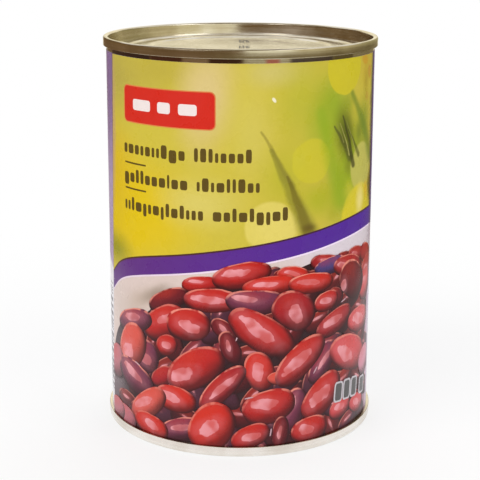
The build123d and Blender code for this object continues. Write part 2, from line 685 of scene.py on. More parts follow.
class Blank:
    """The shapes that stamps copy, in units of half their size, kept out of the scene."""

    @staticmethod
    def block(name: str, roundness: float, cuts: int) -> Piece:
        """Make a rounded block.

        Args:
            name: the blank's name.
            roundness: radius of its corners, as a share of half its height.
            cuts: how many strips it is cut into, so that it can bend.

        Returns:
            The blank.
        """
        mesh = flat_film(name, [[rounded_box(0, 0, 2, 2, roundness)]], 0.0, 1.0, 2 / cuts, None)
        mesh.transform(Matrix.Scale(1 / MM, 4))
        return bpy.data.objects.new(name, mesh)

    @staticmethod
    def bean(name: str, rings: int = 9, sides: int = 36, squareness: float = 2.25) -> Piece:
        """Make the flat outline of a bean, filled with rings so that it can bend.

        Args:
            name: the blank's name.
            rings: rings between its middle and its edge.
            sides: corners of each ring.
            squareness: 2 for an ellipse, more for fuller ends.

        Returns:
            The blank, with its own coordinates kept as "local".
        """
        def fuller(value: float) -> float:
            """A sine or cosine, pushed outwards."""
            return math.copysign(abs(value) ** (2 / squareness), value)

        work = bmesh.new()
        sheet_map = work.loops.layers.uv.new(BAKE_MAP)
        middle = work.verts.new((0, 0, 0))
        turns = [2 * math.pi * side / sides for side in range(sides)]
        edge = [(fuller(math.cos(turn)), fuller(math.sin(turn))) for turn in turns]
        rows = [
            [work.verts.new((share * x, share * y, 0.0)) for x, y in edge]
            for share in [ring / rings for ring in range(1, rings + 1)]
        ]
        foot = [work.verts.new((vert.co.x, vert.co.y, -1)) for vert in rows[-1]]
        for side in range(sides):
            after = (side + 1) % sides
            work.faces.new((middle, rows[0][side], rows[0][after]))
            for inner, outer in zip(rows, rows[1:]):
                work.faces.new((inner[side], outer[side], outer[after], inner[after]))
            work.faces.new((rows[-1][side], foot[side], foot[after], rows[-1][after]))
        work.faces.new(foot[::-1])
        for face in work.faces:
            front = face.calc_center_median().z > -0.25
            map_middle, map_reach = (0.5, FACE_REACH) if front else (HIDDEN_STRIP, HIDDEN_STRIP)
            for corner in face.loops:
                x, y, z = corner.vert.co
                reach = map_reach * SIDE_REACH if not front and z > -0.5 else map_reach
                corner[sheet_map].uv = (map_middle + reach * x, map_middle + reach * y)
        mesh = bpy.data.meshes.new(name)
        work.to_mesh(mesh)
        work.free()
        local = mesh.attributes.new("local", "FLOAT_VECTOR", "POINT")
        for item, vert in zip(local.data, mesh.vertices):
            item.vector = vert.co
        return bpy.data.objects.new(name, mesh)


# ---- finishes


@dataclass(frozen=True)
class Finish:
    """A finish, painted into a material of its own the first time it is asked for.

    On the label, lean is how far x shifts for each mm of height, and pivot the height without a shift.
    """

    name: str
    roughness: float = 0.30
    roughness_spread: float = 0.05
    metallic: float = 0.0
    relief: float = 0.00001
    relief_scale: float = 2600.0
    sheen: float = 0.3
    lean: float = 0.0
    pivot: float = 0.0

    @cache
    def material(self) -> bpy.types.Material:
        """Paint the finish into a material, once.

        Returns:
            The material.
        """
        made = bpy.data.materials.new(self.name)
        made.use_nodes = True
        tree = Tree(made.node_tree)
        surface = made.node_tree.nodes["Principled BSDF"].inputs
        rough, spread = self.roughness, self.roughness_spread
        matness = tree.soft(self.matness(tree), 0.3, 0.7, rough - spread, rough + spread)
        tree.feed(surface["Base Color"], self.colour(tree))
        tree.feed(surface["Roughness"], matness)
        tree.feed(surface["Normal"], tree.add("ShaderNodeBump", 1.0, self.relief, None, self.bumps(tree)))
        tree.feed(surface["Metallic"], self.metallic)
        tree.feed(surface["Specular IOR Level"], self.sheen)
        return made

    def colour(self, tree: Tree) -> Socket:
        """The colour all over the surface; each kind of finish has its own."""
        raise NotImplementedError

    def matness(self, tree: Tree) -> Socket:
        """How matt the surface is from place to place, around 0.5."""
        return tree.noise(self.place(tree), 180.0, 3.0)

    def bumps(self, tree: Tree) -> Socket:
        """Height of the fine unevenness of the surface."""
        return tree.noise(self.place(tree), self.relief_scale, 2.0)

    @staticmethod
    def place(tree: Tree) -> Socket:
        """Where on the object a point is, in metres."""
        return tree.add("ShaderNodeTexCoord", out="Object")

    def sheet(self, tree: Tree) -> tuple[Socket, Socket, Socket]:
        """Where on the flat label a point is, in mm.

        Args:
            tree: the material's tree.

        Returns:
            The place as a vector, then x, straightened along a leaning edge, and y.
        """
        place = tree.attribute("sheet", "Vector")
        x, y, _ = tree.split(place)
        if self.lean:
            x = tree.less(x, tree.math("MULTIPLY_ADD", y, self.lean, -self.lean * self.pivot))
        return place, x, y


@dataclass(frozen=True)
class Tinplate(Finish):
    """Rolled tinplate under a thin warm lacquer, with fine lines round the axis."""

    bright: Colour = ink(226, 220, 206)
    dull: Colour = ink(196, 186, 164)
    roughness: float = 0.19
    roughness_spread: float = 0.05
    metallic: float = 1.0
    relief: float = 0.000012
    sheen: float = 0.5
    lines: float = 3200.0

    def spun(self, tree: Tree, fineness: float) -> Socket:
        """Fine lines that run round the axis.

        Args:
            tree: the material's tree.
            fineness: how close the lines are, as a share of their usual number.

        Returns:
            The lines as noise around 0.5.
        """
        x, y, z = tree.split(self.place(tree))
        scale = self.lines * fineness
        radius = tree.product(tree.vector("LENGTH", tree.join(x, y, 0.0)), scale)
        turn = tree.product(tree.math("ARCTAN2", y, x), 1.3)
        return tree.noise(tree.join(radius, turn, tree.product(z, scale)), 1.0, 2.0)

    def colour(self, tree: Tree) -> Socket:
        """Bright metal with cloudy lacquer and fine spun lines.

        Args:
            tree: the material's tree.

        Returns:
            The colour.
        """
        clouds = tree.product(tree.noise(self.place(tree), 95.0, 3.0), 0.7)
        share = tree.soft(tree.sum(clouds, tree.product(self.spun(tree, 0.5), 0.3)), 0.36, 0.64)
        return tree.mix(share, self.dull, self.bright)

    def matness(self, tree: Tree) -> Socket:
        """Matness that follows the spun lines."""
        return self.spun(tree, 0.4)

    def bumps(self, tree: Tree) -> Socket:
        """Height of the spun lines."""
        return self.spun(tree, 1.0)


@dataclass(frozen=True)
class ReflectionBand:
    """A soft-edged upright band of painted reflection on the bare wall, in mm round the can."""

    start: float
    end: float
    tint: Colour


@dataclass(frozen=True)
class WallWithPaintedReflection(Tinplate):
    """The bare strip of wall over the label, with bands of painted reflection here and there."""

    radius: float = 37.0
    blur: float = 0.8
    strength: float = 0.85
    # Colours painted on the bare metal strip: painted reflection, in bands round the can.
    reflection_bands: tuple[ReflectionBand, ...] = (
        ReflectionBand(-44, -25, ink(84, 66, 92)),
        ReflectionBand(-25, -15, ink(120, 74, 80)),
        ReflectionBand(-15, -8, ink(228, 222, 214)),
        ReflectionBand(-8, 0.5, ink(96, 48, 52)),
        ReflectionBand(6.5, 10, ink(214, 120, 116)),
        ReflectionBand(13, 26, ink(86, 72, 88)),
        ReflectionBand(26, 34, ink(128, 114, 80)),
        ReflectionBand(36, 42, ink(226, 220, 210)),
    )

    def colour(self, tree: Tree) -> Socket:
        """Tinplate with the bands of painted reflection over it.

        Args:
            tree: the material's tree.

        Returns:
            The colour.
        """
        base = super().colour(tree)
        x, y, _ = tree.split(self.place(tree))
        along = tree.product(tree.math("ARCTAN2", x, tree.product(y, -1.0)), self.radius)
        for painted_band in self.reflection_bands:
            left = tree.soft(along, painted_band.start - self.blur, painted_band.start + self.blur)
            right = tree.soft(along, painted_band.end + self.blur, painted_band.end - self.blur)
            base = tree.mix(tree.product(left, right, self.strength), base, painted_band.tint)
        return base


@dataclass(frozen=True)
class Paper(Finish):
    """White coated paper."""

    white: Colour = ink(236, 233, 236)
    shade: Colour = ink(230, 226, 230)
    # Painted shadow in the lap's crease.
    crease: Colour = ink(112, 96, 106)
    margin: Colour = ink(197, 177, 196)
    fold: float = 188.9
    panel_right: float = 48.9

    def colour(self, tree: Tree) -> Socket:
        """White, faintly cloudy like pulp, lilac beside the picture, with painted shadow in the lap's
        crease.

        Args:
            tree: the material's tree.

        Returns:
            The colour.
        """
        clouds = tree.noise(self.place(tree), 420.0, 4.0, 0.6)
        base = tree.mix(tree.soft(clouds, 0.35, 0.7), self.white, self.shade)
        _, x, _ = self.sheet(tree)
        margin = tree.soft(x, self.panel_right + 16.0, self.panel_right + 9.0)
        # Painted shadow in the lap's crease, just before the fold.
        lap_shadow_share = tree.soft(x, self.fold - 2.6, self.fold - 0.4, 0.0, 0.5)
        return tree.mix(lap_shadow_share, tree.mix(margin, base, self.margin), self.crease)


@dataclass(frozen=True)
class FlatInk(Finish):
    """One printed colour, going gently over to another from one place to the other."""

    first: Colour = (0.5, 0.5, 0.5, 1.0)
    second: Colour | None = None
    start: float = -45.0
    end: float = 45.0
    mottle: float = 0.12

    def mottled(self, tree: Tree, place: Socket, base: Socket) -> Socket:
        """A colour with the slight mottle that ink has on paper."""
        cloudy = tree.soft(tree.noise(place, 0.55, 4.0, 0.6), 0.35, 0.75, 0.0, self.mottle)
        return tree.mix(cloudy, base, tuple(0.55 * part for part in self.first[:3]) + (1.0,))

    def colour(self, tree: Tree) -> Socket:
        """The mottled ink, going over from the first colour to the second.

        Args:
            tree: the material's tree.

        Returns:
            The colour.
        """
        place, x, _ = self.sheet(tree)
        share = tree.soft(x, self.start, self.end)
        return self.mottled(tree, place, tree.mix(share, self.first, self.second or self.first))


@dataclass(frozen=True)
class PurpleWithPaintedSheen(FlatInk):
    """The purple of the back, paled by painted sheen beside the lap; start and end are those of the painted
    shadow in the lap's crease.
    """

    # Painted sheen: the paler purples that the coat's reflection shows near the lap.
    sheen_high: Colour = ink(140, 112, 158)
    sheen_low: Colour = ink(194, 174, 206)
    sheen_from: float = 171.0

    def colour(self, tree: Tree) -> Socket:
        """Purple under a painted sheen that pales it towards the lap, more so lower down, then painted
        shadow in the crease.

        Args:
            tree: the material's tree.

        Returns:
            The colour.
        """
        place, x, y = self.sheet(tree)
        # Painted sheen, paler lower down and towards the lap.
        sheen_colour = tree.mix(tree.soft(y, 96.0, 62.0), self.sheen_high, self.sheen_low)
        uneven = tree.product(tree.less(tree.noise(place, 0.5, 3.0, 0.6), 0.5), 0.3)
        share = tree.sum(tree.soft(x, self.sheen_from, self.sheen_from + 9.0, 0.0, 0.95), uneven)
        share = tree.product(share, tree.soft(x, self.sheen_from - 4.0, self.sheen_from))
        base = self.mottled(tree, place, tree.mix(share, self.first, sheen_colour))
        # Painted shadow in the lap's crease.
        return tree.mix(tree.soft(x, self.start, self.end), base, self.second)


@dataclass(frozen=True)
class Patch:
    """A soft spot of colour in a printed picture, in mm and degrees."""

    x: float
    y: float
    width: float
    height: float
    tint: Colour
    share: float = 0.9
    turn: float = 0.0
    core: float = 0.0

    def cover(self, tree: Tree, x: Socket, y: Socket) -> Socket:
        """How far the spot covers what is under it.

        Args:
            tree: the material's tree.
            x: where the point is, along the label.
            y: where the point is, up the label.

        Returns:
            The spot's share of the colour.
        """
        turn = math.radians(self.turn)
        along, across = tree.turned(x, y, (self.x, self.y), (math.cos(turn), math.sin(turn)))
        reach = tree.vector("LENGTH", tree.join(
            tree.product(along, 2 / self.width), tree.product(across, 2 / self.height), 0.0
        ))
        return tree.soft(reach, 1.0, self.core, 0.0, self.share)


@dataclass(frozen=True)
class Blade:
    """A blade of grass, blurred or sharp, in mm."""

    start: Point
    end: Point
    start_width: float
    end_width: float
    tint: Colour
    share: float = 0.8
    blur: float = 0.5

    def cover(self, tree: Tree, x: Socket, y: Socket) -> Socket:
        """How far the blade covers what is under it.

        Args:
            tree: the material's tree.
            x: where the point is, along the label.
            y: where the point is, up the label.

        Returns:
            The blade's share of the colour.
        """
        run = (self.end[0] - self.start[0], self.end[1] - self.start[1])
        length = math.hypot(*run)
        along, across = tree.turned(x, y, self.start, (run[0] / length, run[1] / length))
        past = tree.less(along, tree.add("ShaderNodeClamp", along, 0.0, length))
        reach = tree.vector("LENGTH", tree.join(past, across, 0.0))
        half_widths = (self.start_width / 2, self.end_width / 2)
        width = tree.add("ShaderNodeMapRange", along, 0.0, length, *half_widths)
        return tree.soft(tree.math("DIVIDE", reach, width), 1 + self.blur, 1 - self.blur, 0.0, self.share)


@dataclass(frozen=True)
class Picture(Finish):
    """A soft printed picture: a ground colour with spots and blades laid over it."""

    ground: Colour = (0.5, 0.5, 0.5, 1.0)
    parts: tuple[Patch | Blade, ...] = ()
    waver: float = 1.2
    grain: float = 0.06
    cloud: Colour = (0.62, 0.60, 0.5, 1.0)

    def colour(self, tree: Tree) -> Socket:
        """The ground with everything laid over it, its edges wavering slightly.

        Args:
            tree: the material's tree.

        Returns:
            The colour.
        """
        place, x, y = self.sheet(tree)
        drift = tree.add("ShaderNodeTexNoise", place, 0.16, 2.0, out="Color")
        drift_x, drift_y, _ = tree.split(drift)
        x = tree.sum(x, tree.product(tree.less(drift_x, 0.5), self.waver))
        y = tree.sum(y, tree.product(tree.less(drift_y, 0.5), self.waver))
        base: Any = self.ground
        for part in self.parts:
            base = tree.mix(part.cover(tree, x, y), base, part.tint)
        cloudy = tree.soft(tree.noise(place, 0.7, 4.0, 0.6), 0.35, 0.75, 0.0, self.grain)
        return tree.mix(cloudy, base, tree.mix(1.0, base, self.cloud, "MULTIPLY"))


@dataclass(frozen=True)
class BeanPrint(Finish):
    """Glossy cooked beans as they are printed: each one lit from the upper left."""

    light: Place = (-0.36, 0.62, 0.70)
    fullness: float = 0.95
    deep: Colour = ink(46, 6, 14)
    deep_share: float = 0.78
    glow: Colour = ink(226, 60, 34)
    gloss: Colour = ink(226, 124, 124)
    gloss_share: float = 0.66
    sparkle: Colour = ink(244, 168, 176)
    lit_rim: Colour = ink(238, 142, 124)

    def colour(self, tree: Tree) -> Socket:
        """Skin that is darker away from the light, with its gleam and its bright rim.

        Args:
            tree: the material's tree.

        Returns:
            The colour.
        """
        u, v, _ = tree.split(tree.attribute("local", "Vector"))
        turn = tree.attribute("turn")
        tint = tree.attribute("tint", "Color")
        sheet = tree.attribute("sheet", "Vector")
        cosine = tree.math("COSINE", turn)
        sine = tree.math("SINE", turn)
        # How the skin of a full bean would face at this place: right, up and out of the paper.
        reach = tree.vector("LENGTH", tree.join(u, v, 0.0))
        lean_u = tree.product(u, tree.attribute("aspect"), self.fullness)
        lean_v = tree.product(v, self.fullness)
        right = tree.less(tree.product(lean_u, cosine), tree.product(lean_v, sine))
        up = tree.sum(tree.product(lean_u, sine), tree.product(lean_v, cosine))
        level = tree.less(1.0, tree.product(reach, reach, self.fullness))
        out = tree.math("SQRT", tree.math("MAXIMUM", level, 0.0))
        # Skin, lit and blotched, darker at the edge that is turned away.
        blotch = tree.product(tree.less(tree.noise(sheet, 0.32, 3.0, 0.55), 0.5), 0.34)
        lit = tree.sum(tree.vector("DOT_PRODUCT", tree.join(right, up, out), self.light), blotch)
        skin = tree.mix(tree.soft(lit, -0.06, 0.76), tree.mix(self.deep_share, tint, self.deep), tint)
        skin = tree.mix(tree.soft(lit, 0.62, 1.15, 0.0, 0.36), skin, self.glow)
        away = tree.sum(tree.product(right, -0.5), tree.product(up, 0.8))
        edge = tree.product(tree.soft(reach, 0.80, 1.02), tree.soft(away, 0.5, -0.1, 0.15, 0.78))
        skin = tree.mix(edge, skin, self.deep)
        # The thin bright line along the lit edge, broken here and there.
        side = tree.soft(tree.sum(tree.product(right, -0.4), tree.product(up, 0.8)), 0.15, 0.55)
        broken = tree.soft(tree.noise(sheet, 0.30, 2.0), 0.36, 0.54)
        rim = tree.product(tree.soft(reach, 0.89, 0.95), side, broken, tree.attribute("rim"))
        skin = tree.mix(rim, skin, self.lit_rim)
        # The wet gloss over it, whiter in spots.
        uneven = tree.soft(tree.noise(sheet, 0.24, 1.0, 0.5), 0.36, 0.62, 0.0, 0.75)
        shine = tree.mix(uneven, tree.mix(self.gloss_share, tint, self.gloss), self.sparkle)
        gleam, halo = self.gleam(tree, u, v, sheet)
        return tree.mix(gleam, tree.mix(halo, skin, shine), shine)

    def gleam(self, tree: Tree, u: Socket, v: Socket, sheet: Socket) -> tuple[Socket, Socket]:
        """The shares of the window-like gleam and of the soft glow round it.

        Args:
            tree: the material's tree.
            u: place along the bean, from -1 to 1.
            v: place across the bean, from -1 to 1.
            sheet: where on the label the point is.

        Returns:
            The share of the gleam, and that of its glow.
        """
        middle_u, middle_v, length = tree.split(tree.attribute("gleam", "Vector"))
        wander = tree.less(tree.noise(sheet, 0.42, 2.0, 0.5), 0.5)
        along = tree.math("DIVIDE", tree.less(u, middle_u), length)
        across = tree.math("DIVIDE", tree.less(v, middle_v), tree.attribute("gleam_width"))
        along = tree.sum(along, tree.product(across, 0.35))
        long_side = tree.math("POWER", tree.math("ABSOLUTE", along), 1.8)
        short_side = tree.math("POWER", tree.math("ABSOLUTE", across), 1.5)
        shape = tree.sum(long_side, short_side, tree.product(wander, 1.3))
        fade = tree.soft(tree.less(across, tree.product(along, 0.6)), -1.3, 1.1, 0.62, 1.0)
        return tree.product(tree.soft(shape, 1.10, 0.94), fade), tree.soft(shape, 3.4, 0.9, 0.0, 0.16)


# ---- tinplate pieces


def arc(x: float, y: float, radius: float, start: float, end: float, steps: int = 8) -> Loop:
    """Points of an arc.

    Args:
        x: its middle.
        y: its middle.
        radius: its radius.
        start: where it starts, in degrees.
        end: where it ends, in degrees.
        steps: its pieces.

    Returns:
        The points, both ends included.
    """
    angles = [math.radians(start + (end - start) * step / steps) for step in range(steps + 1)]
    return [(x + radius * math.cos(angle), y + radius * math.sin(angle)) for angle in angles]


def eased(start: Point, end: Point, steps: int = 6) -> Loop:
    """A step between two levels, rounded at both ends as a press leaves it.

    Args:
        start: its first point.
        end: its last point.
        steps: its pieces.

    Returns:
        The points, both ends included.
    """
    run, rise = end[0] - start[0], end[1] - start[1]
    return [
        (start[0] + run * step / steps, start[1] + rise * (0.5 - 0.5 * math.cos(math.pi * step / steps)))
        for step in range(steps + 1)
    ]


@dataclass(frozen=True)
class CanEnd:
    """A pressed end with its rolled seam; sizes in mm.

    The pin is the thin hole round the axis that the turned outline leaves, and is then closed.
    """

    seam_radius: float
    seam_height: float
    wall_radius: float
    seam_width: float = 1.35
    crest_radius: float = 0.5
    skirt_radius: float = 0.12
    panel_depth: float = 3.75
    groove_width: float = 1.5
    chuck_taper: float = 0.35
    end_thickness: float = 0.5
    plug_gap: float = 0.25
    ring_widths: tuple[float, ...] = (3.2, 3.4, 3.4)
    ring_heights: tuple[float, ...] = (0.75, 0.35, 0.8)
    ring_slope: float = 0.8
    centre_height: float = 0.45
    centre_slope: float = 8.0
    shoulder: float = 0.3
    segments: int = 224
    pin: float = 0.01

    def panel(self) -> Loop:
        """The pressed rings from the middle outwards, heights measured from the crest.

        Returns:
            The line, which ends at the groove.
        """
        floor = -self.panel_depth
        radius = self.seam_radius - self.seam_width - self.chuck_taper - self.groove_width
        edge = radius
        levels = []
        for width, height in zip(self.ring_widths, self.ring_heights):
            radius -= width
            levels.append((radius, floor + height))
        inner = floor + self.centre_height
        line: Loop = [(0.0, inner), (radius - self.centre_slope, inner)]
        half_slope = self.ring_slope / 2
        for radius, height in reversed(levels):
            line += eased((radius - half_slope, inner), (radius + half_slope, height))
            inner = height
        return line + arc(edge - self.shoulder, inner - self.shoulder, self.shoulder, 90, 20, 4)

    def profile(self) -> Loop:
        """The whole outline: out over the top, down the seam, and back underneath.

        Returns:
            The outline from the axis back to the axis.
        """
        crest, skirt, groove = self.crest_radius, self.skirt_radius, self.groove_width / 2
        crest_inner = self.seam_radius - self.seam_width
        groove_outer = crest_inner - self.chuck_taper
        floor = -self.panel_depth
        plug = self.wall_radius - self.plug_gap
        seat = floor - self.end_thickness
        return [
            *self.panel(),
            *arc(groove_outer - groove, floor + groove, groove, 190, 352, 10),
            (groove_outer + self.chuck_taper * 0.5, floor / 2),
            *arc(crest_inner + crest, -crest, crest, 180, 90),
            *arc(self.seam_radius - crest, -crest, crest, 90, 0),
            (self.seam_radius, -self.seam_height * 0.5),
            *arc(self.seam_radius - skirt, -self.seam_height + skirt, skirt, 0, -90, 5),
            (plug, -self.seam_height),
            (plug, seat),
            (0.0, seat),
        ]

    @staticmethod
    @cache
    def lathe_tree() -> Nodes:
        """Make the tree that turns a profile round the can's axis.

        Returns:
            The tree.
        """
        inputs = {"Segments": "Int", "Pin Radius": "Float", "Material": "Material"}
        tree = GeometryTree("turned_end", inputs)
        pin = tree.given("Pin Radius")
        share = tree.add("GeometryNodeSplineParameter")
        outline = tree.add("GeometryNodeMeshToCurve", tree.given("Geometry"))
        outline = tree.store(outline, "along", share, "FLOAT", "POINT")
        path = tree.add("GeometryNodeCurvePrimitiveCircle", tree.given("Segments"), pin)
        path = tree.store(path, "round", share, "FLOAT", "POINT")
        shape = tree.add("GeometryNodeCurveToMesh", path, outline)
        turn = tree.named("round")
        spread = tree.less(tree.add("GeometryNodeFieldOnDomain", turn, domain="FACE"), turn)
        whole = tree.sum(turn, tree.math("GREATER_THAN", spread, 0.25))
        unrolled = tree.join(whole, tree.named("along"), 0.0)
        shape = tree.store(shape, BAKE_MAP, unrolled, "FLOAT2", "CORNER")
        return tree.end_dressed(
            tree.add("GeometryNodeMergeByDistance", shape, None, tree.product(pin, 3.0))
        )

    def turn(self, name: str, level: float, upright: bool, finish: Finish) -> Piece:
        """Turn the end on its axis.

        Args:
            name: the piece's name.
            level: height of its crest, in mm.
            upright: True for the upper end, False for the lower one.
            finish: its metal.

        Returns:
            The piece.
        """
        sign = 1 if upright else -1
        points = self.profile() if upright else self.profile()[::-1]
        pin = self.pin * MM
        corners = [
            (max(radius * MM - pin, 0.0), -(level + sign * height) * MM, 0.0) for radius, height in points
        ]
        mesh = bpy.data.meshes.new(name)
        mesh.from_pydata(corners, [(index, index + 1) for index in range(len(corners) - 1)], [])
        return grow(mesh, name, self.lathe_tree(), {
            "Segments": self.segments, "Pin Radius": pin, "Material": finish.material(),
        })


# ---- the printed picture


class Tone(Enum):
    """Skin colours of the printed beans."""

    DEEP_RED = ink(96, 16, 22)
    DEEP_MAROON = ink(70, 16, 24)
    DEEP_PLUM = ink(80, 36, 54)
    SCARLET = ink(206, 38, 24)
    RED = ink(188, 28, 24)
    CRIMSON = ink(166, 24, 32)
    MAROON = ink(112, 18, 28)
    PLUM = ink(120, 48, 74)
    ROSE = ink(214, 72, 76)
    SALMON = ink(216, 82, 68)
    # The next two tones are painted sheen: beans near the picture's edges, paled as the coat's reflection
    # pales them.
    FADED = ink(186, 100, 112)
    BLUSH = ink(216, 140, 160)
    INDIGO = ink(78, 62, 120)


@dataclass(frozen=True)
class Bean:
    """One printed bean: its place and size in mm, its turn in degrees, and its gleam.

    The gleam's place is measured from the bean's middle, along and up the label.
    """

    x: float
    y: float
    length: float
    width: float
    turn: float = 0.0
    tone: Tone = Tone.RED
    gleam: tuple[float, float, float, float] | None = None
    rim: float = 0.5
    bend: float = 0.0

    def reach(self, dx: float, dy: float) -> float:
        """How far the bean reaches from its middle in a direction."""
        lean = math.atan2(dy, dx) - math.radians(self.turn)
        return math.hypot(self.length / 2 * math.cos(lean), self.width / 2 * math.sin(lean))

    def covers(self, other: "Bean") -> bool:
        """Whether two beans overlap."""
        dx, dy = other.x - self.x, other.y - self.y
        return math.hypot(dx, dy) < self.reach(dx, dy) + other.reach(dx, dy) + BEAN_GAP

    def stamp(self, top: float, plumpness: float = 1.06) -> Stamp:
        """Turn the bean into a stamp.

        Args:
            top: height of its ink, in mm.
            plumpness: its printed size against its own.

        Returns:
            The stamp, with the gleam's place along and across the bean.
        """
        lean = math.radians(self.turn)
        dx, dy, long, wide = self.gleam or (0.0, 0.0, 0.01, 0.01)
        local_x = (dx * math.cos(lean) + dy * math.sin(lean)) / (self.length / 2)
        local_y = (dy * math.cos(lean) - dx * math.sin(lean)) / (self.width / 2)
        return Stamp(
            self.x, self.y, self.length * plumpness, self.width * plumpness, top, self.turn, self.bend,
            self.tone.value, (local_x, local_y, long / self.length), wide / self.width, self.rim,
        )


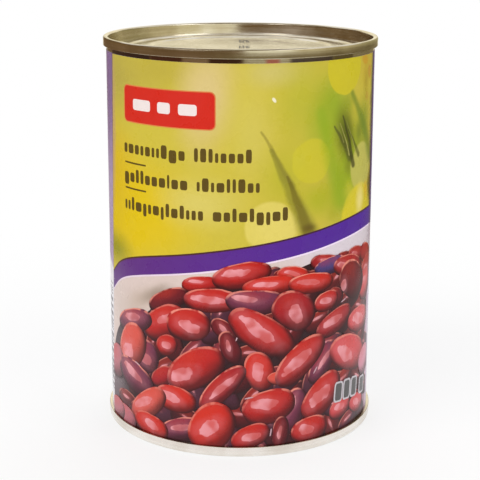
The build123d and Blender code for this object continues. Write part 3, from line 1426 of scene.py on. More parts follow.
HEAP: tuple[Bean, ...] = (
    Bean(-10.5, 47.3, 10, 4.4, 8, Tone.RED, (-1, 0.8, 4, 1.0)),
    Bean(11.5, 50.2, 5, 2.6, 0, Tone.MAROON, None, 0.4),
    Bean(14.5, 49.6, 9, 4.6, -10, Tone.SCARLET, (-0.5, 0.6, 4, 1.2), 0.9),
    Bean(31.5, 52.2, 5.4, 2.4, 0, Tone.MAROON),
    Bean(24.5, 51.7, 9.5, 4.2, -10, Tone.CRIMSON, (0, 0.5, 3.6, 1.1)),
    Bean(26.5, 50.6, 11, 4.5, 4, Tone.INDIGO, None, 0.9),
    Bean(38, 51.5, 9, 4.2, -6, Tone.CRIMSON, (-1, 0.5, 3, 1.0)),
    Bean(45, 50, 9, 5.4, -20, Tone.CRIMSON, None, 0.6),
    Bean(34, 49, 13, 6, -10, Tone.CRIMSON, (-3, 0.8, 4.2, 1.8), 0.8),
    Bean(0.5, 50.2, 15, 6.4, 12, Tone.RED, (-1.4, 0.7, 7.5, 2.1), 0.7),
    Bean(8, 47.3, 14, 5, 5, Tone.SCARLET, (-1, 0.4, 6, 1.5), 0.3),
    Bean(20, 46.8, 13.4, 5.2, -3, Tone.SCARLET, (-1, 0.4, 6.5, 1.6), 1.0),
    Bean(46, 45.5, 9, 8, 10, Tone.CRIMSON, (-1, 0.5, 3, 2)),
    Bean(44.5, 41.5, 9, 8, 30, Tone.ROSE, (-0.6, 1, 3.4, 2.4)),
    Bean(36, 44.8, 13, 9.4, -35, Tone.MAROON, (-4.2, -0.8, 2.6, 3.0), 1.0),
    Bean(-20, 42, 13, 5.2, 25, Tone.MAROON, None, 0.8),
    Bean(-7.5, 43.2, 14.4, 6.2, 2, Tone.RED, (-0.8, 0.2, 8.6, 2.2), 0.7),
    Bean(4, 43.3, 14.6, 6.4, -2, Tone.PLUM, (-2.6, 1.0, 6.6, 1.8), 0.8, -0.12),
    Bean(28.3, 41.5, 5, 6, 60, Tone.MAROON, None, 0.3),
    Bean(25, 41, 8, 5.2, 10, Tone.RED, (-0.3, 0.2, 4.2, 2.0), 0.8),
    Bean(14.8, 39.9, 12.4, 9.8, -30, Tone.CRIMSON, (0.4, -0.9, 4.6, 4.0), 0.7),
    Bean(-21.5, 35.5, 14.4, 8, 32, Tone.RED, (1.0, 1.2, 6, 2.4)),
    Bean(-14, 36, 12, 8.6, 5, Tone.RED, (0.4, -0.4, 5.4, 3.4), 1.0),
    Bean(-33, 33.5, 15, 6.4, 17, Tone.PLUM, (-0.4, 1.0, 6.4, 2.4), 0.9),
    Bean(-4, 35.2, 8, 4.4, -40, Tone.MAROON, (-0.4, 0.6, 3, 1.2), 0.8),
    Bean(-2.5, 30.5, 9, 5, -70, Tone.MAROON, (-0.4, 0.6, 3.4, 1.4), 0.9),
    Bean(6, 34.7, 19, 9, -33, Tone.RED, (-1.0, 0.9, 10.5, 3.4), 0.5, -0.08),
    Bean(28.5, 34.6, 13.6, 6.2, 20, Tone.CRIMSON, (-1.0, 0.3, 7, 2.3), 0.4),
    Bean(40.5, 32.3, 12.5, 7, -4, Tone.ROSE, (-0.4, 0.2, 6.5, 3.4), 0.4),
    Bean(-20.5, 29.3, 6.5, 5.5, 30, Tone.RED, (0, 0, 2.6, 2.2), 0.3),
    Bean(-28, 24.5, 9, 9, 20, Tone.PLUM, (0, -0.6, 3.8, 3.6), 0.6),
    Bean(-34, 26, 14, 10.4, 55, Tone.SALMON, (-1.9, -1.8, 5.6, 4.6), 0.7),
    Bean(24, 24, 12.5, 6, 52, Tone.PLUM, (0.6, 0.8, 6, 1.6), 1.0),
    Bean(35.5, 24, 18, 9.4, -20, Tone.ROSE, (-2.2, 0.2, 7.4, 4.2), 0.7),
    Bean(5.3, 24, 10.4, 7.4, -75, Tone.SCARLET, (-0.4, -0.2, 5.4, 3.2), 0.6),
    Bean(10, 21.6, 5, 3.4, 0, Tone.SALMON),
    Bean(17, 25.6, 17, 8, 40, Tone.RED, (-0.9, -0.2, 9.6, 3.2), 0.7, 0.08),
    Bean(-22, 20, 8, 5, 35, Tone.CRIMSON, None, 0.4),
    Bean(-12, 23.5, 17.4, 9.6, 35, Tone.RED, (-3.4, -1.8, 6.6, 3.6), 0.6, 0.08),
    Bean(-43, 19, 10, 9, 40, Tone.FADED, None, 0.4),
    Bean(-33, 17.5, 15.4, 8.4, -17, Tone.PLUM, (-0.8, 1.0, 8, 2.6), 0.9),
    Bean(-4.5, 19, 16, 5.8, 47, Tone.CRIMSON, (0.4, 0.4, 9.6, 1.9), 0.9, 0.10),
    Bean(14.5, 11.8, 12.6, 7, 70, Tone.PLUM, (-0.4, 1.4, 5, 2), 1.0),
    Bean(-18, 14.5, 12, 7, -5, Tone.SCARLET, (-1.4, 0.4, 5.6, 2.8)),
    Bean(-27.5, 10.8, 15, 7, 38, Tone.SALMON, (-1.6, 0.2, 7, 2.6)),
    Bean(8, 13.7, 14, 9, 12, Tone.RED, (-1.2, 0.8, 6.6, 3.2), 0.7),
    Bean(24, 14.5, 15, 9, 42, Tone.RED, (-0.6, 0, 7.4, 3.8), 0.6),
    Bean(45.5, 19, 9, 8, 20, Tone.BLUSH, None, 0.3),
    Bean(-37, 4.4, 9, 6, -10, Tone.FADED, None, 0.4),
    Bean(-16.4, 6.2, 13, 5.8, 20, Tone.PLUM, (0.2, 0.4, 6.4, 1.8), 0.9),
    Bean(11.2, 6, 9, 4.4, 85, Tone.MAROON, (-0.2, 0.2, 3.6, 1.2), 0.8),
    Bean(-43, 5, 9, 6, 0, Tone.FADED, None, 0.3),
    Bean(31.5, 9, 9, 5.6, 10, Tone.ROSE, (-0.4, 0.3, 4, 2.2), 0.4),
    Bean(40.5, 7.6, 9, 5.4, -10, Tone.ROSE, (-0.4, 0.3, 4, 2.2), 0.4),
    Bean(-26.5, 5, 12, 6.4, -10, Tone.SCARLET, (0.4, 0.2, 5, 2.4)),
    Bean(-7.5, 7.8, 14.4, 11, 60, Tone.SCARLET, (-0.7, -0.2, 5.6, 4.2), 0.6),
    Bean(3, 5.5, 10.4, 6, 25, Tone.RED, (0.2, 0, 4.8, 2.4)),
    Bean(20, 5.6, 11, 7, 4, Tone.RED, (-1.2, 0.2, 4.4, 3), 0.7),
)


# Sunlit grass out of focus, with round blurs of light and a few blades that are nearly sharp.
MEADOW = Picture("meadow_ink", ground=ink(208, 190, 62), parts=(
    Patch(-42, 100, 60, 30, ink(184, 168, 74), 0.95),
    Patch(-20, 103, 44, 16, ink(188, 170, 62), 0.8),
    Patch(-34, 64, 64, 44, ink(226, 194, 0), 1.0, 0, 0.25),
    Patch(-40, 75, 30, 36, ink(222, 186, 26), 0.8),
    Patch(-9, 97, 22, 44, ink(220, 196, 130), 0.95, -8, 0.1),
    Patch(-11, 69, 34, 20, ink(220, 204, 104), 0.85),
    Patch(3, 88, 20, 40, ink(214, 200, 96), 0.6),
    Patch(9, 103, 26, 12, ink(210, 196, 120), 0.7),
    Patch(17, 95, 26, 34, ink(190, 186, 48), 0.85, -10),
    Patch(26, 92, 20, 30, ink(152, 174, 36), 0.95, -12, 0.1),
    Patch(33, 76, 26, 44, ink(152, 174, 28), 0.9, -6, 0.1),
    Patch(31.2, 86, 12.5, 21, ink(98, 106, 26), 0.98, 14, 0.1),
    Patch(41, 87, 13, 22, ink(138, 156, 46), 0.85),
    Patch(37.8, 85, 5, 10, ink(112, 124, 36), 0.6),
    Patch(32.4, 94, 8, 9, ink(136, 156, 34), 0.5),
    Patch(33, 76.6, 6, 7, ink(122, 124, 26), 0.6),
    Patch(43, 103, 18, 16, ink(205, 176, 54)),
    Patch(12, 76, 22, 26, ink(184, 182, 30), 0.6),
    Patch(10, 62.5, 16, 12, ink(234, 215, 112), 0.9, 0, 0.4),
    Patch(8, 63, 14.5, 14.5, ink(230, 212, 104), 0.8, 0, 0.86),
    Patch(22, 69, 18, 14, ink(178, 182, 24), 0.8),
    Patch(23, 88, 16, 24, ink(172, 184, 34), 0.55, -16),
    Patch(-42, 52, 26, 14, ink(150, 148, 26)),
    Patch(31, 103, 14.4, 14.4, ink(212, 197, 34), 0.97, 0, 0.93),
    Patch(19.5, 79.6, 12.6, 12.6, ink(210, 198, 42), 0.85, 0, 0.88),
    Patch(40.2, 75.4, 13.4, 14.0, ink(200, 194, 92), 0.95, 0, 0.88),
    Patch(38.6, 62.5, 17.8, 18.4, ink(224, 206, 44), 0.97, 0, 0.86),
    Patch(26.6, 64.4, 6, 5, ink(168, 170, 26), 0.35),
    Patch(39.4, 66.6, 6.8, 13, ink(246, 228, 138)),
    Patch(41, 104.2, 5.4, 3.2, ink(208, 160, 40), 0.9, -20, 0.6),
    Patch(45, 100.6, 4.2, 5, ink(202, 152, 54), 0.8, 20, 0.5),
    Patch(43, 94.2, 3.4, 3.2, ink(198, 168, 60), 0.8, 0, 0.5),
    Patch(46.6, 93, 3, 5, ink(176, 146, 66), 0.7, 0, 0.4),
    Patch(42, 98, 6, 14, ink(165, 140, 34), 0.45),
    Patch(33, 70, 8, 8, ink(206, 200, 50), 0.75),
    Patch(15.5, 80.5, 7, 9, ink(206, 196, 56), 0.5),
    Blade((5.5, 88), (14, 73), 0.5, 1.6, ink(142, 128, 44), 0.6, 0.7),
    Blade((8, 83), (19.2, 60), 1.0, 5.6, ink(138, 132, 40), 0.7),
    Blade((12.4, 76), (19.0, 60), 0.6, 3.6, ink(112, 98, 26), 0.65),
    Blade((34, 96), (47, 78), 1.4, 4.4, ink(112, 136, 40), 0.7, 0.85),
    Blade((22, 92), (29.5, 68), 3.0, 5.0, ink(146, 176, 24), 0.6, 0.9),
    Patch(18.6, 62.0, 6.6, 3.4, ink(104, 84, 26), 0.8, 10),
    Blade((26.8, 88), (33.6, 79.0), 0.5, 2.2, ink(84, 84, 34), 0.75, 0.6),
    Blade((30.2, 90.4), (35.2, 76.6), 0.4, 1.6, ink(70, 70, 28), 0.85),
    Blade((32.4, 86.6), (38.0, 79.0), 0.3, 1.4, ink(80, 84, 32), 0.7),
    Blade((29.0, 88.6), (33.2, 79.6), 0.2, 0.45, ink(178, 172, 92), 0.75),
    Blade((31.6, 89.0), (36.2, 80.0), 0.15, 0.4, ink(164, 160, 84), 0.6),
    Blade((27.6, 89.0), (30.4, 83.4), 0.15, 0.35, ink(150, 148, 76), 0.6),
    Patch(8.6, 95.9, 1.0, 1.8, ink(246, 240, 214), 0.95, 30, 0.5),
    Patch(-42.6, 84, 3.6, 60, ink(196, 160, 110), 0.7, -2.4, 0.2),
    Patch(49.8, 88, 8.6, 64, ink(112, 106, 82), 0.95, 0, 0.4),
    Patch(48.2, 69, 8.4, 14, ink(104, 86, 34), 0.9, 0, 0.3),
    Patch(43.6, 68.4, 4, 7, ink(226, 186, 48), 0.7, 12, 0.4),
))

# White glaze, shaded where the beans stand near it.
BOWL = Picture("bowl_ink", ground=ink(220, 200, 192), grain=0.03, parts=(
    Patch(34, 56, 60, 24, ink(227, 215, 224), 0.95, 0, 0.3),
    Patch(-30, 40, 34, 10, ink(196, 176, 160), 0.85, 26),
    Patch(-40, 36, 22, 20, ink(212, 194, 184), 0.7),
    Patch(-24, 43, 18, 6, ink(156, 136, 120), 0.8, 24),
    Patch(-14, 51.4, 34, 4, ink(232, 212, 210), 0.6, 6),
    Patch(49, 55, 10, 12, ink(204, 190, 206), 0.8),
))

# Deep shadow between the beans, part of the print; paler at both ends, where painted sheen lies over the
# printed shadow.
HEAP_SHADOW = Picture("heap_ink", ground=ink(50, 22, 28), waver=3.0, grain=0.3, parts=(
    # Painted sheen over the printed shadow towards the left edge.
    Patch(-44, 14, 22, 40, ink(112, 92, 98), 0.95),
    Patch(-40, 8, 26, 12, ink(104, 80, 90)),
    Patch(-32, 32, 26, 10, ink(96, 62, 78), 0.8, 20),
    Patch(4, 28, 16, 10, ink(84, 40, 46), 0.6),
    Patch(2, 15, 8, 8, ink(52, 34, 38), 0.7),
    # Painted sheen towards the right edge.
    Patch(50, 20, 20, 74, ink(204, 158, 182), 0.95, 0, 0.2),
    Patch(40, 18, 16, 8, ink(112, 66, 84), 0.7),
))


@dataclass(frozen=True)
class FrontPicture:
    """The printed front: a meadow, a band, and a bowl heaped with beans; sizes in mm."""

    sheet: LabelSheet
    band_points: tuple[Point, ...] = (
        (-49, 41.0), (-46.5, 43.2), (-40, 48.6), (-30, 52.1), (-10, 55.9), (10, 59.1), (30, 62.0),
        (42, 62.9), (49.5, 62.7),
    )
    band_height: float = 5.1
    band_dip: float = 0.3
    edge_line: Point = (-0.16, 0.3)
    rim_line: Point = (-0.05, 0.42)
    heap_points: tuple[Point, ...] = (
        (-46, 12), (-45, 23), (-41, 30), (-33, 35), (-27, 37.4), (-22, 42.6), (-14, 46.6), (-8, 47.6),
        (-4, 50), (4, 52.0), (12, 50.6), (24, 53), (38, 52.6), (49, 51.5),
    )
    slivers: tuple[Place, ...] = (
        (6.8, 42.6, 60), (12, 37, -50), (-0.5, 33.6, 70), (4.6, 28, 80), (2.5, 16.5, 10), (8.4, 6.4, 80),
        (21.4, 22.2, 55), (13.4, 20.6, 60), (-31.4, 21.6, -15), (19.8, 10.2, 60), (31.6, 39.8, 20),
    )
    sliver_size: Point = (2.3, 0.34)
    bean_unevenness: float = 0.55
    sliver_unevenness: float = 0.4
    picture_top: float = 0.010
    ink_top: float = 0.020
    line_top: float = 0.026
    first_bean_top: float = 0.032
    deep_rows: int = 8
    deep_columns: int = 12
    deep_start: Point = (-41.0, 4.0)
    deep_pitch: Point = (7.6, 6.2)
    deep_stagger: float = 3.6
    deep_right: float = 47.0
    deep_cover: float = 4.6

    def across(self, points: Sequence[Point], drop: float = 0.0, dip: float = 0.0) -> Loop:
        """Draw a smooth line from the paper's end to the panel's right edge.

        Args:
            points: what it passes through.
            drop: how far it is moved down.
            dip: how far its left end hangs below the rest.

        Returns:
            The line, left to right.
        """
        right = self.sheet.panel_right
        line = [(x, y - drop) for x, y in smooth_line(points)]
        inside = [point for point in line if self.sheet.left(point[1]) + 0.1 < point[0] < right]
        low, high = inside[0][1], inside[-1][1]
        return [(self.sheet.left(low), low - dip), *inside, (right, high)]

    def closed(self, line: Loop, level: float) -> Loop:
        """Close a line across the panel along the panel's sides and a level."""
        return [*line, (self.sheet.panel_right, level), (self.sheet.left(level), level)]

    def stripe(self, name: str, high: float, low: float, top: float, finish: Finish) -> Piece:
        """Print a stripe along the band; high and low are how far below the band's top its edges lie."""
        upper, lower = (self.across(self.band_points, drop, self.band_dip) for drop in (high, low))
        return self.sheet.print_patch(name, [[[*lower, *upper[::-1]]]], top, finish)

    def grounds(self) -> list[Piece]:
        """Print the meadow, the rim of the bowl, and the dark between the beans.

        Returns:
            The pieces.
        """
        high, low = self.sheet.can.paper_high, self.sheet.can.paper_low
        middle = self.across(self.band_points, self.band_height / 2, self.band_dip)
        bowl = self.closed(middle, low)[::-1]
        heap = self.closed(self.across(self.heap_points), low)[::-1]
        return [
            self.sheet.print_patch("meadow_print", [[self.closed(middle, high)]], self.picture_top, MEADOW),
            self.sheet.print_patch("bowl_print", [[bowl]], self.picture_top, BOWL),
            self.sheet.print_patch("heap_ground", [[heap]], self.ink_top, HEAP_SHADOW),
        ]

    def stripes(self) -> list[Piece]:
        """Print the band, the thin dark line over it and the thin pale line under it.

        Returns:
            The pieces.
        """
        height = self.band_height
        band = FlatInk("band_ink", first=ink(97, 44, 128), second=ink(84, 38, 160), mottle=0.08)
        edge = FlatInk("band_edge_ink", first=ink(84, 44, 22), second=ink(70, 32, 70), mottle=0.05)
        rim = FlatInk("rim_line_ink", first=ink(232, 212, 226), second=ink(252, 232, 255), mottle=0.03)
        return [
            self.stripe("purple_band", 0, height, self.ink_top, band),
            self.stripe("band_edge", *self.edge_line, self.line_top, edge),
            self.stripe("bowl_rim_line", *(height + line for line in self.rim_line), self.line_top, rim),
        ]

    def beans(self) -> Piece:
        """Print all the beans, each over the ones behind it, trimmed to the panel.

        Returns:
            The piece.
        """
        bottom = self.sheet.can.paper_low
        lean = math.atan(self.sheet.lap_lean)
        border = Border((
            ((0.0, bottom), (0.0, -1.0)),
            ((self.sheet.panel_right, 0.0), (1.0, 0.0)),
            ((self.sheet.left(bottom), bottom), (-math.cos(lean), math.sin(lean))),
        ))
        stamps = [
            bean.stamp(self.first_bean_top + level * FILM_STEP) for bean, level in self.layered_beans()
        ]
        blank = Blank.bean("bean_blank")
        finish = BeanPrint("bean_ink")
        return self.sheet.print_stamps("bean_print", stamps, blank, finish, self.bean_unevenness, border)

    @cache
    def layered_beans(self) -> list[tuple[Bean, int]]:
        """Stack the beans from the bottom up.

        Returns:
            Each bean with its level above the ones that it covers, the deep beans first.
        """
        heap = [*self.deep_beans(), *HEAP]
        levels: list[int] = []
        for index, bean in enumerate(heap):
            under = [levels[other] for other in range(index) if bean.covers(heap[other])]
            levels.append(max(under, default=-1) + 1)
        return list(zip(heap, levels))

    def above_deep_beans(self) -> float:
        """A height between the deep beans and the ones on top of them."""
        deepest = max(level for _, level in self.layered_beans()[:-len(HEAP)])
        return self.first_bean_top + (deepest + 0.5) * FILM_STEP

    def above_beans(self) -> float:
        """A height that clears every bean."""
        depth = max(level for _, level in self.layered_beans()) + 1
        return self.first_bean_top + depth * FILM_STEP

    def deep_beans(self) -> list[Bean]:
        """Lay dark beans deep in the heap, seen in the gaps between the others.

        Returns:
            The beans, in rows from the bottom.
        """
        chance = random.Random(4)
        line = smooth_line(self.heap_points)
        tones = (Tone.DEEP_RED, Tone.DEEP_MAROON, Tone.DEEP_PLUM)
        beans = []
        (left, low), (pitch_x, pitch_y) = self.deep_start, self.deep_pitch
        for row, column in product(range(self.deep_rows), range(self.deep_columns)):
            x = left + pitch_x * column + chance.uniform(-2, 2) + (self.deep_stagger if row % 2 else 0)
            y = low + pitch_y * row + chance.uniform(-1.6, 1.6)
            length, width = chance.uniform(9, 12.5), chance.uniform(5, 6.6)
            turn, tone = chance.uniform(-70, 80), chance.choice(tones)
            roof = min(line, key=lambda point: abs(point[0] - x))[1]
            if x < self.deep_right and y < roof - self.deep_cover:
                beans.append(Bean(x, y, length, width, turn, tone, (-0.6, 0.8, 3.2, 0.8), 0.5))
        return beans

    def sparks(self) -> Piece:
        """Print small bright slivers where light falls between the beans.

        Returns:
            The piece.
        """
        top = self.above_deep_beans()
        stamps = [Stamp(x, y, *self.sliver_size, top, turn) for x, y, turn in self.slivers]
        finish = FlatInk("spark_ink", first=ink(205, 165, 172), second=ink(206, 172, 182))
        blank = Blank.block("sliver_blank", 0.9, 4)
        return self.sheet.print_stamps("light_slivers", stamps, blank, finish, self.sliver_unevenness)


# ---- marks on the label


@dataclass(frozen=True)
class Row:
    """A row of plain blocks where a line of words would stand; sizes in mm."""

    x: float
    y: float
    words: tuple[int, ...]
    height: float
    width: float
    gap: float = 0.55
    space: float = 2.4
    tall_share: float = 0.3
    deep_share: float = 0.12
    rise: float = 0.42
    drop: float = 0.36
    width_range: Point = (0.45, 1.3)

    def blocks(self, chance: random.Random, top: float) -> list[Stamp]:
        """Lay the row out.

        Args:
            chance: where its small differences come from.
            top: height of the ink.

        Returns:
            A stamp for each block.
        """
        stamps = []
        x = self.x
        for word in self.words:
            for _ in range(word):
                width = self.width * chance.uniform(*self.width_range)
                kind = chance.random()
                rise = self.height * self.rise if kind < self.tall_share else 0.0
                drop = self.height * self.drop if kind > 1 - self.deep_share else 0.0
                middle = self.y + (rise - drop) / 2
                stamps.append(Stamp(x + width / 2, middle, width, self.height + rise + drop, top))
                x += width + self.gap
            x += self.space
        return stamps


@dataclass(frozen=True)
class FrontMarks:
    """What is printed over the picture: a red plate, rows of blocks and a row at the weight's place."""

    sheet: LabelSheet
    plate_middle: Point = (-21.0, 93.2)
    plate_size: Point = (29.0, 9.4)
    plate_edge: float = 0.28
    bars: tuple[Point, ...] = ((-7.4, 6.4), (0.2, 4.0), (7.2, 5.2))  # middle and width of each
    bar_height: float = 2.9
    lines: tuple[Row, ...] = (
        Row(-36, 81.2, (10, 8), 2.5, 1.77, 0.62, 2.0),
        Row(-36, 73.5, (10, 9), 2.5, 1.59, 0.62, 2.0),
        Row(-36, 65.8, (14, 9), 2.5, 1.75, 0.62, 2.0),
    )
    rule_middles: tuple[Point, ...] = ((-31.4, 77.35), (-31.4, 70.4))
    rule_size: Point = (8.7, 0.46)
    weights: tuple[tuple[float, float, float, float], ...] = (
        (30.2, 13.9, 2.6, 4.9), (34.0, 13.7, 2.6, 4.9), (37.8, 13.3, 2.6, 4.9), (43.4, 12.1, 3.0, 4.2),
    )
    weight_turn: float = -5.0
    outline: float = 0.5
    dark: FlatInk = FlatInk("word_ink", first=ink(98, 78, 26), mottle=0.2)
    top: float = 0.020

    def plate(self) -> list[Piece]:
        """Print the red plate with its pale edge and plain bars.

        Returns:
            The pieces.
        """
        (x, y), (width, height), grown = self.plate_middle, self.plate_size, 2 * self.plate_edge
        under = rounded_box(x, y, width + grown, height + grown, 1.5)
        face = rounded_box(x, y, width, height, 1.3)
        bars = [[rounded_box(x + aside, y, wide, self.bar_height, 0.7)] for aside, wide in self.bars]
        amber = FlatInk("plate_edge_ink", first=ink(222, 130, 70))
        red = FlatInk("plate_ink", first=ink(213, 38, 22), mottle=0.06)
        pale = FlatInk("plate_bar_ink", first=ink(240, 226, 222), mottle=0.05)
        return [
            self.sheet.print_patch("plate_edge", [[under]], self.top, amber),
            self.sheet.print_patch("red_plate", [[face]], self.top + FILM_STEP, red),
            self.sheet.print_patch("plate_bars", bars, self.top + 2 * FILM_STEP, pale),
        ]

    def rows(self) -> Piece:
        """Print the rows of plain blocks.

        Returns:
            The piece.
        """
        chance = random.Random(11)
        blocks = [block for line in self.lines for block in line.blocks(chance, self.top)]
        return self.sheet.print_stamps("block_rows", blocks, Blank.block("word_blank", 0.5, 4), self.dark)

    def rules(self) -> Piece:
        """Print the two short rules between the rows."""
        outlines = [[rounded_box(*middle, *self.rule_size, 0.1)] for middle in self.rule_middles]
        return self.sheet.print_patch("short_rules", outlines, self.top, self.dark)

    def weight(self, clear: float) -> list[Piece]:
        """Print tall blocks with a pale outline, where the weight would stand.

        Args:
            clear: a height above everything that is under them.

        Returns:
            The pieces.
        """
        def stamps(grown: float, top: float) -> list[Stamp]:
            """The blocks, grown on each side."""
            sizes = [(x, y, wide + 2 * grown, high + 2 * grown) for x, y, wide, high in self.weights]
            return [Stamp(*size, top, self.weight_turn) for size in sizes]

        under, over = stamps(self.outline, clear + FILM_STEP), stamps(0.0, clear + 2 * FILM_STEP)
        pale = FlatInk("weight_edge_ink", first=ink(214, 208, 206), second=ink(206, 200, 206))
        dark = FlatInk("weight_ink", first=ink(74, 76, 70), second=ink(92, 90, 90), mottle=0.2)
        return [
            self.sheet.print_stamps("weight_edge", under, Blank.block("edge_blank", 0.45, 4), pale),
            self.sheet.print_stamps("weight_blocks", over, Blank.block("weight_blank", 0.4, 4), dark),
        ]


@dataclass(frozen=True)
class BackPrint:
    """The rest of the label: purple above, white below, with plain rows and bars; sizes in mm."""

    sheet: LabelSheet
    purple: Colour = ink(88, 50, 140)
    white: Colour = ink(232, 226, 236)
    top: float = 0.010
    mark_top: float = 0.012
    rule_top: float = 0.016
    row_top: float = 0.018
    edge_top: float = 0.026
    edge_reach: Point = (0.35, 0.6)
    edge_low: float = 62.4
    texts: tuple[tuple[float, int, int], ...] = ((62.0, 9, 4), (112.0, 11, 4), (150.0, 4, 2))
    text_high: float = 97.0
    text_pitch: float = 3.7
    text_height: float = 1.5
    text_block: Place = (1.05, 0.32, 1.3)  # width, gap and space
    head_height: float = 2.4
    head_gap: float = 1.2
    table_middle: float = 84.0
    table_width: float = 52.0
    table_high: float = 40.0
    table_pitch: float = 3.6
    table_lines: int = 9
    table_height: float = 1.1
    table_block: Place = (0.95, 0.3, 1.0)
    posts: tuple[float, ...] = (58, 92, 110)
    post_height: float = 3.3
    rule: float = 0.22
    cells: tuple[tuple[float, int, int, int], ...] = ((60, 4, 9, 2), (95, 2, 3, 2), (122, 3, 8, 4))
    ladder_place: float = 55.0
    ladder_width: float = 14.0
    ladder_low: float = 8.5
    ladder_high: float = 40.0
    bars: tuple[float, ...] = (0.33, 0.33, 0.66, 0.99, 1.2)
    gaps: tuple[float, ...] = (0.4, 0.66, 0.66, 1.0)

    @property
    def end(self) -> float:
        """Where the back's print ends, under the lap."""
        return self.sheet.girth + self.sheet.lap_edge + 6.0

    def purple_line(self) -> Loop:
        """The lower edge of the purple, from the front panel round to the lap.

        Returns:
            The line.
        """
        right, girth = self.sheet.panel_right, self.sheet.girth
        return smooth_line([
            (right, 57.6), (right + 12, 55.4), (right + 35, 50.6), (110, 47.4), (150, 45.4),
            (girth - 56, 47.6), (girth - 50, 46.6), (girth - 44.6, 44.2), (self.end, 41.5),
        ])

    def purple_field(self) -> Piece:
        """Print the purple field, with painted sheen beside the lap and painted shadow in the lap's crease.

        Returns:
            The piece.
        """
        top = self.sheet.can.paper_high
        outline = [*self.purple_line(), (self.end, top), (self.sheet.panel_right, top)]
        fold = self.sheet.girth + self.sheet.lap_edge
        # Its second colour, from start to end, is painted shadow in the lap's crease.
        finish = PurpleWithPaintedSheen(
            "purple_ink", first=self.purple, second=ink(74, 44, 54), start=fold - 2.0, end=fold - 0.6,
            mottle=0.1, lean=self.sheet.lap_lean, pivot=self.sheet.middle, sheen_from=fold - 18.0,
        )
        return self.sheet.print_patch("purple_field", [[outline]], self.top, finish)

    def panel_edge(self) -> Piece:
        """Print the dark line where the purple meets the front picture.

        Returns:
            The piece.
        """
        low, high = self.edge_low, self.sheet.can.paper_high
        left = self.sheet.panel_right - self.edge_reach[0]
        right = self.sheet.panel_right + self.edge_reach[1]
        outline = [(left, low), (right, low), (right, high), (left, high)]
        finish = FlatInk("panel_edge_ink", first=ink(66, 36, 78))
        return self.sheet.print_patch("panel_edge", [[outline]], self.edge_top, finish)

    def rows(self) -> Piece:
        """Print small pale blocks in rows on the purple, larger in each column's first row.

        Returns:
            The piece.
        """
        chance = random.Random(5)
        blocks: list[Stamp] = []
        for x, lines, count in self.texts:
            for line in range(lines):
                words = tuple(chance.randint(3, 8) for _ in range(count))
                y = self.text_high - self.text_pitch * line - (self.head_gap if line else 0)
                height = self.text_height if line else self.head_height
                blocks += Row(x, y, words, height, *self.text_block).blocks(chance, self.row_top)
        finish = FlatInk("pale_row_ink", first=self.white)
        return self.sheet.print_stamps("pale_rows", blocks, Blank.block("pale_blank", 0.5, 2), finish)

    def table(self) -> list[Piece]:
        """Print a ruled table with small blocks on the white.

        Returns:
            The pieces.
        """
        chance = random.Random(8)
        levels = [self.table_high - self.table_pitch * line for line in range(self.table_lines + 1)]
        lines = [level - self.table_pitch / 2 for level in levels[:-1]]
        outlines = [(self.table_middle, level, self.table_width, self.rule) for level in levels]
        outlines += [(x, y, self.rule, self.post_height) for y in lines for x in self.posts]
        blocks: list[Stamp] = []
        for y in lines:
            for x, low, most, count in self.cells:
                words = tuple(chance.randint(low, most) for _ in range(count))
                row = Row(x, y, words, self.table_height, *self.table_block)
                blocks += row.blocks(chance, self.mark_top)
        rules = [[rounded_box(*outline, 0.08, 2)] for outline in outlines]
        finish = FlatInk("grey_row_ink", first=ink(96, 88, 104))
        return [
            self.sheet.print_patch("table_rules", rules, self.rule_top, finish),
            self.sheet.print_stamps("table_rows", blocks, Blank.block("table_blank", 0.5, 2), finish),
        ]

    def ladder(self) -> Piece:
        """Print a ladder of bars of mixed thickness beside the lap; they encode nothing.

        Returns:
            The piece.
        """
        chance = random.Random(3)
        middle = self.sheet.girth - self.ladder_place
        bars = []
        y = self.ladder_low
        while y < self.ladder_high:
            thickness = chance.choice(self.bars)
            bars.append(Stamp(middle, y + thickness / 2, self.ladder_width, thickness, self.mark_top))
            y += thickness + chance.choice(self.gaps)
        finish = FlatInk("ladder_ink", first=ink(112, 106, 112))
        return self.sheet.print_stamps("ladder_bars", bars, Blank.block("bar_blank", 0.02, 14), finish)


@dataclass(frozen=True)
class CanLabel:
    """The paper label with everything printed on it."""

    sheet: LabelSheet

    def paper(self) -> Piece:
        """Make the sheet of paper itself, glued over its own end.

        Returns:
            The piece.
        """
        sheet = self.sheet
        length = sheet.girth + sheet.lap_width
        low, high = sheet.can.paper_low, sheet.can.paper_high
        left_low, left_high = sheet.left(low), sheet.left(high)
        outline = [(left_low, low), (left_low + length, low), (left_high + length, high), (left_high, high)]
        finish = Paper(
            "coated_paper", fold=sheet.girth + sheet.lap_edge, panel_right=sheet.panel_right,
            lean=sheet.lap_lean, pivot=sheet.middle,
        )
        return sheet.print_patch("paper_label", [[outline]], 0.0, finish, sheet.thickness)

    def prints(self) -> list[Piece]:
        """Print everything on it.

        Returns:
            The pieces.
        """
        picture, marks, back = FrontPicture(self.sheet), FrontMarks(self.sheet), BackPrint(self.sheet)
        return [
            *picture.grounds(), *picture.stripes(), picture.beans(), picture.sparks(), *marks.plate(),
            marks.rows(), marks.rules(), *marks.weight(picture.above_beans()), back.purple_field(),
            back.panel_edge(), back.rows(), *back.table(), back.ladder(),
        ]


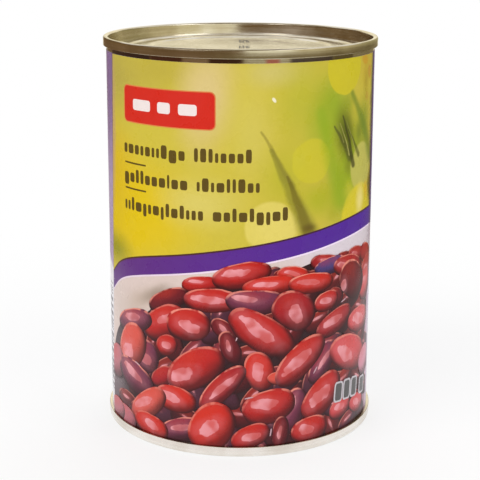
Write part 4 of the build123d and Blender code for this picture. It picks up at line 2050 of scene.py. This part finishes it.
@dataclass(frozen=True)
class LotDots:
    """A small cluster of ink-jet dots on the lid; sizes in mm."""

    level: float
    middle: Point = (1.3, -4.6)
    pitch: float = 0.5
    dot: float = 0.44
    columns: int = 6
    rows: int = 14
    line_gap: float = 15.0
    ink_height: float = 0.02
    skipped: Point = (0.6, 0.15)  # share of places left out, in every second column and anywhere

    def dots_tree(self) -> Nodes:
        """Make the tree that sets one small dot on each point.

        Returns:
            The tree.
        """
        inputs = {"Radius": "Float", "Height": "Float", "Material": "Material"}
        tree = GeometryTree("lot_dots", inputs)
        dot = tree.add("GeometryNodeMeshCylinder", 12, 1, 1, tree.given("Radius"), tree.given("Height"))
        points = tree.given("Geometry")
        return tree.end_dressed(tree.add("GeometryNodeInstanceOnPoints", points, None, dot))

    def build(self) -> Piece:
        """Print two lines of dots, most places filled.

        Returns:
            The piece.
        """
        chance = random.Random(21)
        left = self.middle[0] - self.columns / 2 * self.pitch
        in_second, anywhere = self.skipped
        points = []
        for line, column, row in product((0.0, self.line_gap), range(self.columns), range(self.rows)):
            if column % 2 and chance.random() < in_second or chance.random() < anywhere:
                continue
            x, y = left + column * self.pitch, self.middle[1] + line + row * self.pitch
            points.append((x * MM, y * MM, self.level * MM))
        mesh = bpy.data.meshes.new("lot_dots")
        mesh.from_pydata(points, [], [])
        return grow(mesh, "lot_dots", self.dots_tree(), {
            "Radius": self.dot / 2 * MM,
            "Height": self.ink_height * MM,
            "Material": DotInk("dot_ink").material(),
        })


@dataclass(frozen=True)
class DotInk(Finish):
    """Dark ink-jet ink."""

    dark: Colour = ink(44, 40, 44)
    thin: Colour = ink(92, 84, 80)

    def colour(self, tree: Tree) -> Socket:
        """Dark, thinner here and there."""
        return tree.mix(tree.soft(tree.noise(self.place(tree), 1500.0), 0.4, 0.75), self.dark, self.thin)


# ---- studio


@dataclass(frozen=True)
class Softbox:
    """A flat lamp aimed at the can; angles in degrees from the front, sizes in metres."""

    name: str
    azimuth: float
    elevation: float
    distance: float
    width: float
    height: float
    watts: float
    mirrored: bool = True

    def hang(self) -> None:
        """Put the lamp up."""
        data = bpy.data.lights.new(self.name, "AREA")
        data.shape = "RECTANGLE"
        data.size = self.width
        data.size_y = self.height
        data.energy = self.watts
        lamp = bpy.data.objects.new(self.name, data)
        turn, rise = math.radians(self.azimuth), math.radians(self.elevation)
        away = Vector((math.sin(turn) * math.cos(rise), -math.cos(turn) * math.cos(rise), math.sin(rise)))
        lamp.location = Vector((0, 0, 0.055)) + away * self.distance
        lamp.rotation_euler = away.to_track_quat("Z", "Y").to_euler()
        lamp.visible_glossy = self.mirrored
        bpy.context.scene.collection.objects.link(lamp)


@dataclass(frozen=True)
class Studio:
    """A white sweep, soft lamps, a dark card for the metal to reflect, and the camera."""

    ambient: float = 0.56
    lamps: tuple[Softbox, ...] = (
        Softbox("key_left", -48, 38, 0.9, 0.55, 0.7, 3.4),
        Softbox("fill_right", 52, 26, 1.0, 0.5, 0.7, 2.2),
        Softbox("top_back", 160, 62, 0.8, 0.6, 0.4, 1.6, False),
    )
    camera_place: Place = (0.0, -0.3624, 0.1447)
    camera_drop: float = 12.87
    camera_roll: float = 0.18
    camera_lens: float = 97.68
    camera_shift: float = -0.0833
    card_radius: float = 0.17
    card_levels: Point = (0.002, 0.20)
    floor_corners: tuple[Place, ...] = ((-3, -3, 0), (3, -3, 0), (3, 3, 0), (-3, 3, 0))
    roof_corners: tuple[Place, ...] = (
        (-0.5, -0.34, 0.4), (0.16, -0.34, 0.4), (0.16, 0.12, 0.4), (-0.5, 0.12, 0.4),
    )

    def build(self) -> None:
        """Set everything up."""
        self.world()
        self.floor()
        self.card()
        self.roof()
        for lamp in self.lamps:
            lamp.hang()
        self.camera()
        bpy.context.scene.view_settings.view_transform = "Standard"

    @staticmethod
    def seen(tree: Tree) -> Socket:
        """Find out whether a ray comes from the camera, a mirror or glass.

        Args:
            tree: a material's or the world's tree.

        Returns:
            1 if it does, 0 if not.
        """
        kinds = ("Is Camera Ray", "Is Glossy Ray", "Is Transmission Ray")
        rays = [tree.add("ShaderNodeLightPath", out=kind) for kind in kinds]
        return tree.math("MINIMUM", tree.sum(*rays), 1.0)

    @staticmethod
    def card_material(name: str) -> tuple[bpy.types.Material, Tree]:
        """Start a material with an empty tree.

        Args:
            name: its name.

        Returns:
            The material and its tree.
        """
        made = bpy.data.materials.new(name)
        made.use_nodes = True
        made.node_tree.nodes.clear()
        return made, Tree(made.node_tree)

    def world(self) -> None:
        """White where it is seen or mirrored, and a plain level of light on everything else."""
        world = bpy.data.worlds.new("studio")
        world.use_nodes = True
        tree = Tree(world.node_tree)
        ground = world.node_tree.nodes["Background"].inputs
        ground["Color"].default_value = (1.0, 1.0, 1.0, 1.0)
        strength = tree.add("ShaderNodeMapRange", self.seen(tree), 0.0, 1.0, self.ambient, 1.0)
        tree.feed(ground["Strength"], strength)
        bpy.context.scene.world = world

    def plate(self, name: str, corners: Sequence[Sequence[float]], faces: Sequence[Sequence[int]],
              material: bpy.types.Material) -> Piece:
        """Make a plain staging mesh.

        Args:
            name: its name.
            corners: its points, in metres.
            faces: its faces.
            material: its material.

        Returns:
            The staged object.
        """
        mesh = bpy.data.meshes.new(name)
        mesh.from_pydata(corners, [], faces)
        mesh.materials.append(material)
        mesh.shade_smooth()
        piece = bpy.data.objects.new(name, mesh)
        bpy.context.scene.collection.objects.link(piece)
        return piece

    def floor(self) -> None:
        """A pale floor that keeps the can's shadow."""
        made, tree = self.card_material("floor_white")
        paint = tree.add("ShaderNodeBsdfDiffuse", (0.93, 0.93, 0.93, 1.0))
        white = tree.add("ShaderNodeEmission", (1.0, 1.0, 1.0, 1.0), 1.0)
        away = tree.vector("LENGTH", tree.add("ShaderNodeTexCoord", out="Object"))
        share = tree.product(self.seen(tree), tree.soft(away, 0.05, 0.22, 0.70, 1.0))
        tree.show(tree.add("ShaderNodeMixShader", share, paint, white))
        self.plate("floor", self.floor_corners, [(0, 1, 2, 3)], made)

    def card(self) -> None:
        """A ring of card that only mirrors see: brown to the front, brighter high up on the right."""
        made, tree = self.card_material("card_brown")
        place = tree.add("ShaderNodeTexCoord", out="Object")
        x, y, z = tree.split(place)
        turn = tree.product(tree.math("ARCTAN2", x, tree.product(y, -1.0)), 180 / math.pi)
        warm = tree.mix(tree.soft(tree.noise(place, 9.0), 0.3, 0.7), ink(115, 103, 72), ink(136, 122, 90))
        low = tree.mix(tree.soft(turn, 12.0, -40.0), warm, ink(124, 99, 72))
        high = tree.mix(tree.soft(turn, 1.0, 6.0), ink(116, 92, 60), ink(255, 250, 224))
        high = tree.mix(tree.soft(turn, 34.0, 44.0), high, ink(212, 201, 159))
        high = tree.mix(tree.soft(turn, 90.0, 118.0), high, ink(170, 160, 117))
        shown = tree.mix(tree.soft(z, 0.088, 0.104), low, high)
        behind = tree.soft(tree.math("ABSOLUTE", turn), 148.0, 154.0)
        shown = tree.mix(behind, shown, ink(255, 246, 216))
        tree.show(tree.add("ShaderNodeEmission", shown, 1.0))
        corners, faces = [], []
        steps, radius = 64, self.card_radius
        for step in range(steps):
            angle = 2 * math.pi * step / steps
            across, front = radius * math.sin(angle), -radius * math.cos(angle)
            corners += [(across, front, level) for level in self.card_levels]
            first, after = 2 * step, 2 * ((step + 1) % steps)
            faces.append((first, first + 1, after + 1, after))
        self.mirror_only(self.plate("mirror_card", corners, faces, made))

    def roof(self) -> None:
        """A brown card overhead that only mirrors see; it darkens the crest and draws the rings."""
        made, tree = self.card_material("roof_brown")
        tree.show(tree.add("ShaderNodeEmission", ink(120, 104, 70), 1.0))
        self.mirror_only(self.plate("roof_card", self.roof_corners, [(0, 1, 2, 3)], made))

    @staticmethod
    def mirror_only(card: Piece) -> None:
        """Hide a card from everything but mirror rays."""
        for kind in ("camera", "diffuse", "shadow", "transmission"):
            setattr(card, f"visible_{kind}", False)

    def camera(self) -> None:
        """A camera a little above the lid, looking down at the label."""
        data = bpy.data.cameras.new("camera")
        data.sensor_width = 36
        data.lens = self.camera_lens
        data.shift_y = self.camera_shift
        data.clip_start = 0.01
        camera = bpy.data.objects.new("camera", data)
        camera.location = self.camera_place
        look = Euler((math.radians(90 - self.camera_drop), 0, 0)).to_matrix()
        camera.rotation_euler = (look @ Matrix.Rotation(math.radians(self.camera_roll), 3, "Z")).to_euler()
        bpy.context.scene.collection.objects.link(camera)
        bpy.context.scene.camera = camera


# ---- the can


@dataclass(frozen=True)
class FoodCan:
    """The whole can: two tinplate ends, the bare wall and the label."""

    size: CanFrame

    def finish_piece(self, piece: Piece, replaced: str | None = None) -> None:
        """Hand a piece over to the frame.

        Args:
            piece: the finished piece.
            replaced: the CAD node that it stands for, if it does.
        """
        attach(piece, BODY)
        if replaced:
            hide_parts(replaced)
        LOG.info("%s: %d faces", piece.name, len(piece.data.polygons))

    def wall(self) -> None:
        """Dress the wall, which keeps its CAD shape."""
        wall = bpy.data.objects["body"]
        finish = WallWithPaintedReflection("wall_tin", radius=self.size.wall_radius)
        wall.data.materials.clear()
        wall.data.materials.append(finish.material())
        LOG.info("wall dressed")

    def ends(self) -> None:
        """Build both ends and the dots on the upper one."""
        skirt_trim = 0.27
        foot = CanEnd(self.size.seam_radius, self.size.seam_height, self.size.wall_radius)
        end = CanEnd(self.size.seam_radius, self.size.seam_height - skirt_trim, self.size.wall_radius)
        metal = Tinplate("end_tin")
        # The lower end's tinplate is painted paler than the lid's: painted reflection of the white floor.
        floor_lit_metal = Tinplate("foot_tin", bright=ink(244, 239, 232), dull=ink(224, 216, 205), roughness=0.26)
        self.finish_piece(end.turn("lid", self.size.height, True, metal), "top_end")
        self.finish_piece(foot.turn("foot_end", 0.0, False, floor_lit_metal), "bottom_end")
        dot_lift = 0.012
        level = self.size.height - end.panel_depth + end.centre_height + dot_lift
        self.finish_piece(LotDots(level).build())

    def label(self) -> None:
        """Build the paper and all its prints."""
        label = CanLabel(LabelSheet(self.size))
        self.finish_piece(label.paper(), "label")
        for piece in label.prints():
            self.finish_piece(piece)


def main() -> None:
    """Build the studio and the can."""
    logging.basicConfig(level=logging.INFO, format="%(name)s: %(message)s")
    Studio().build()
    can = FoodCan(CanFrame.read())
    can.wall()
    can.ends()
    can.label()


if __name__ == "__main__":
    main()
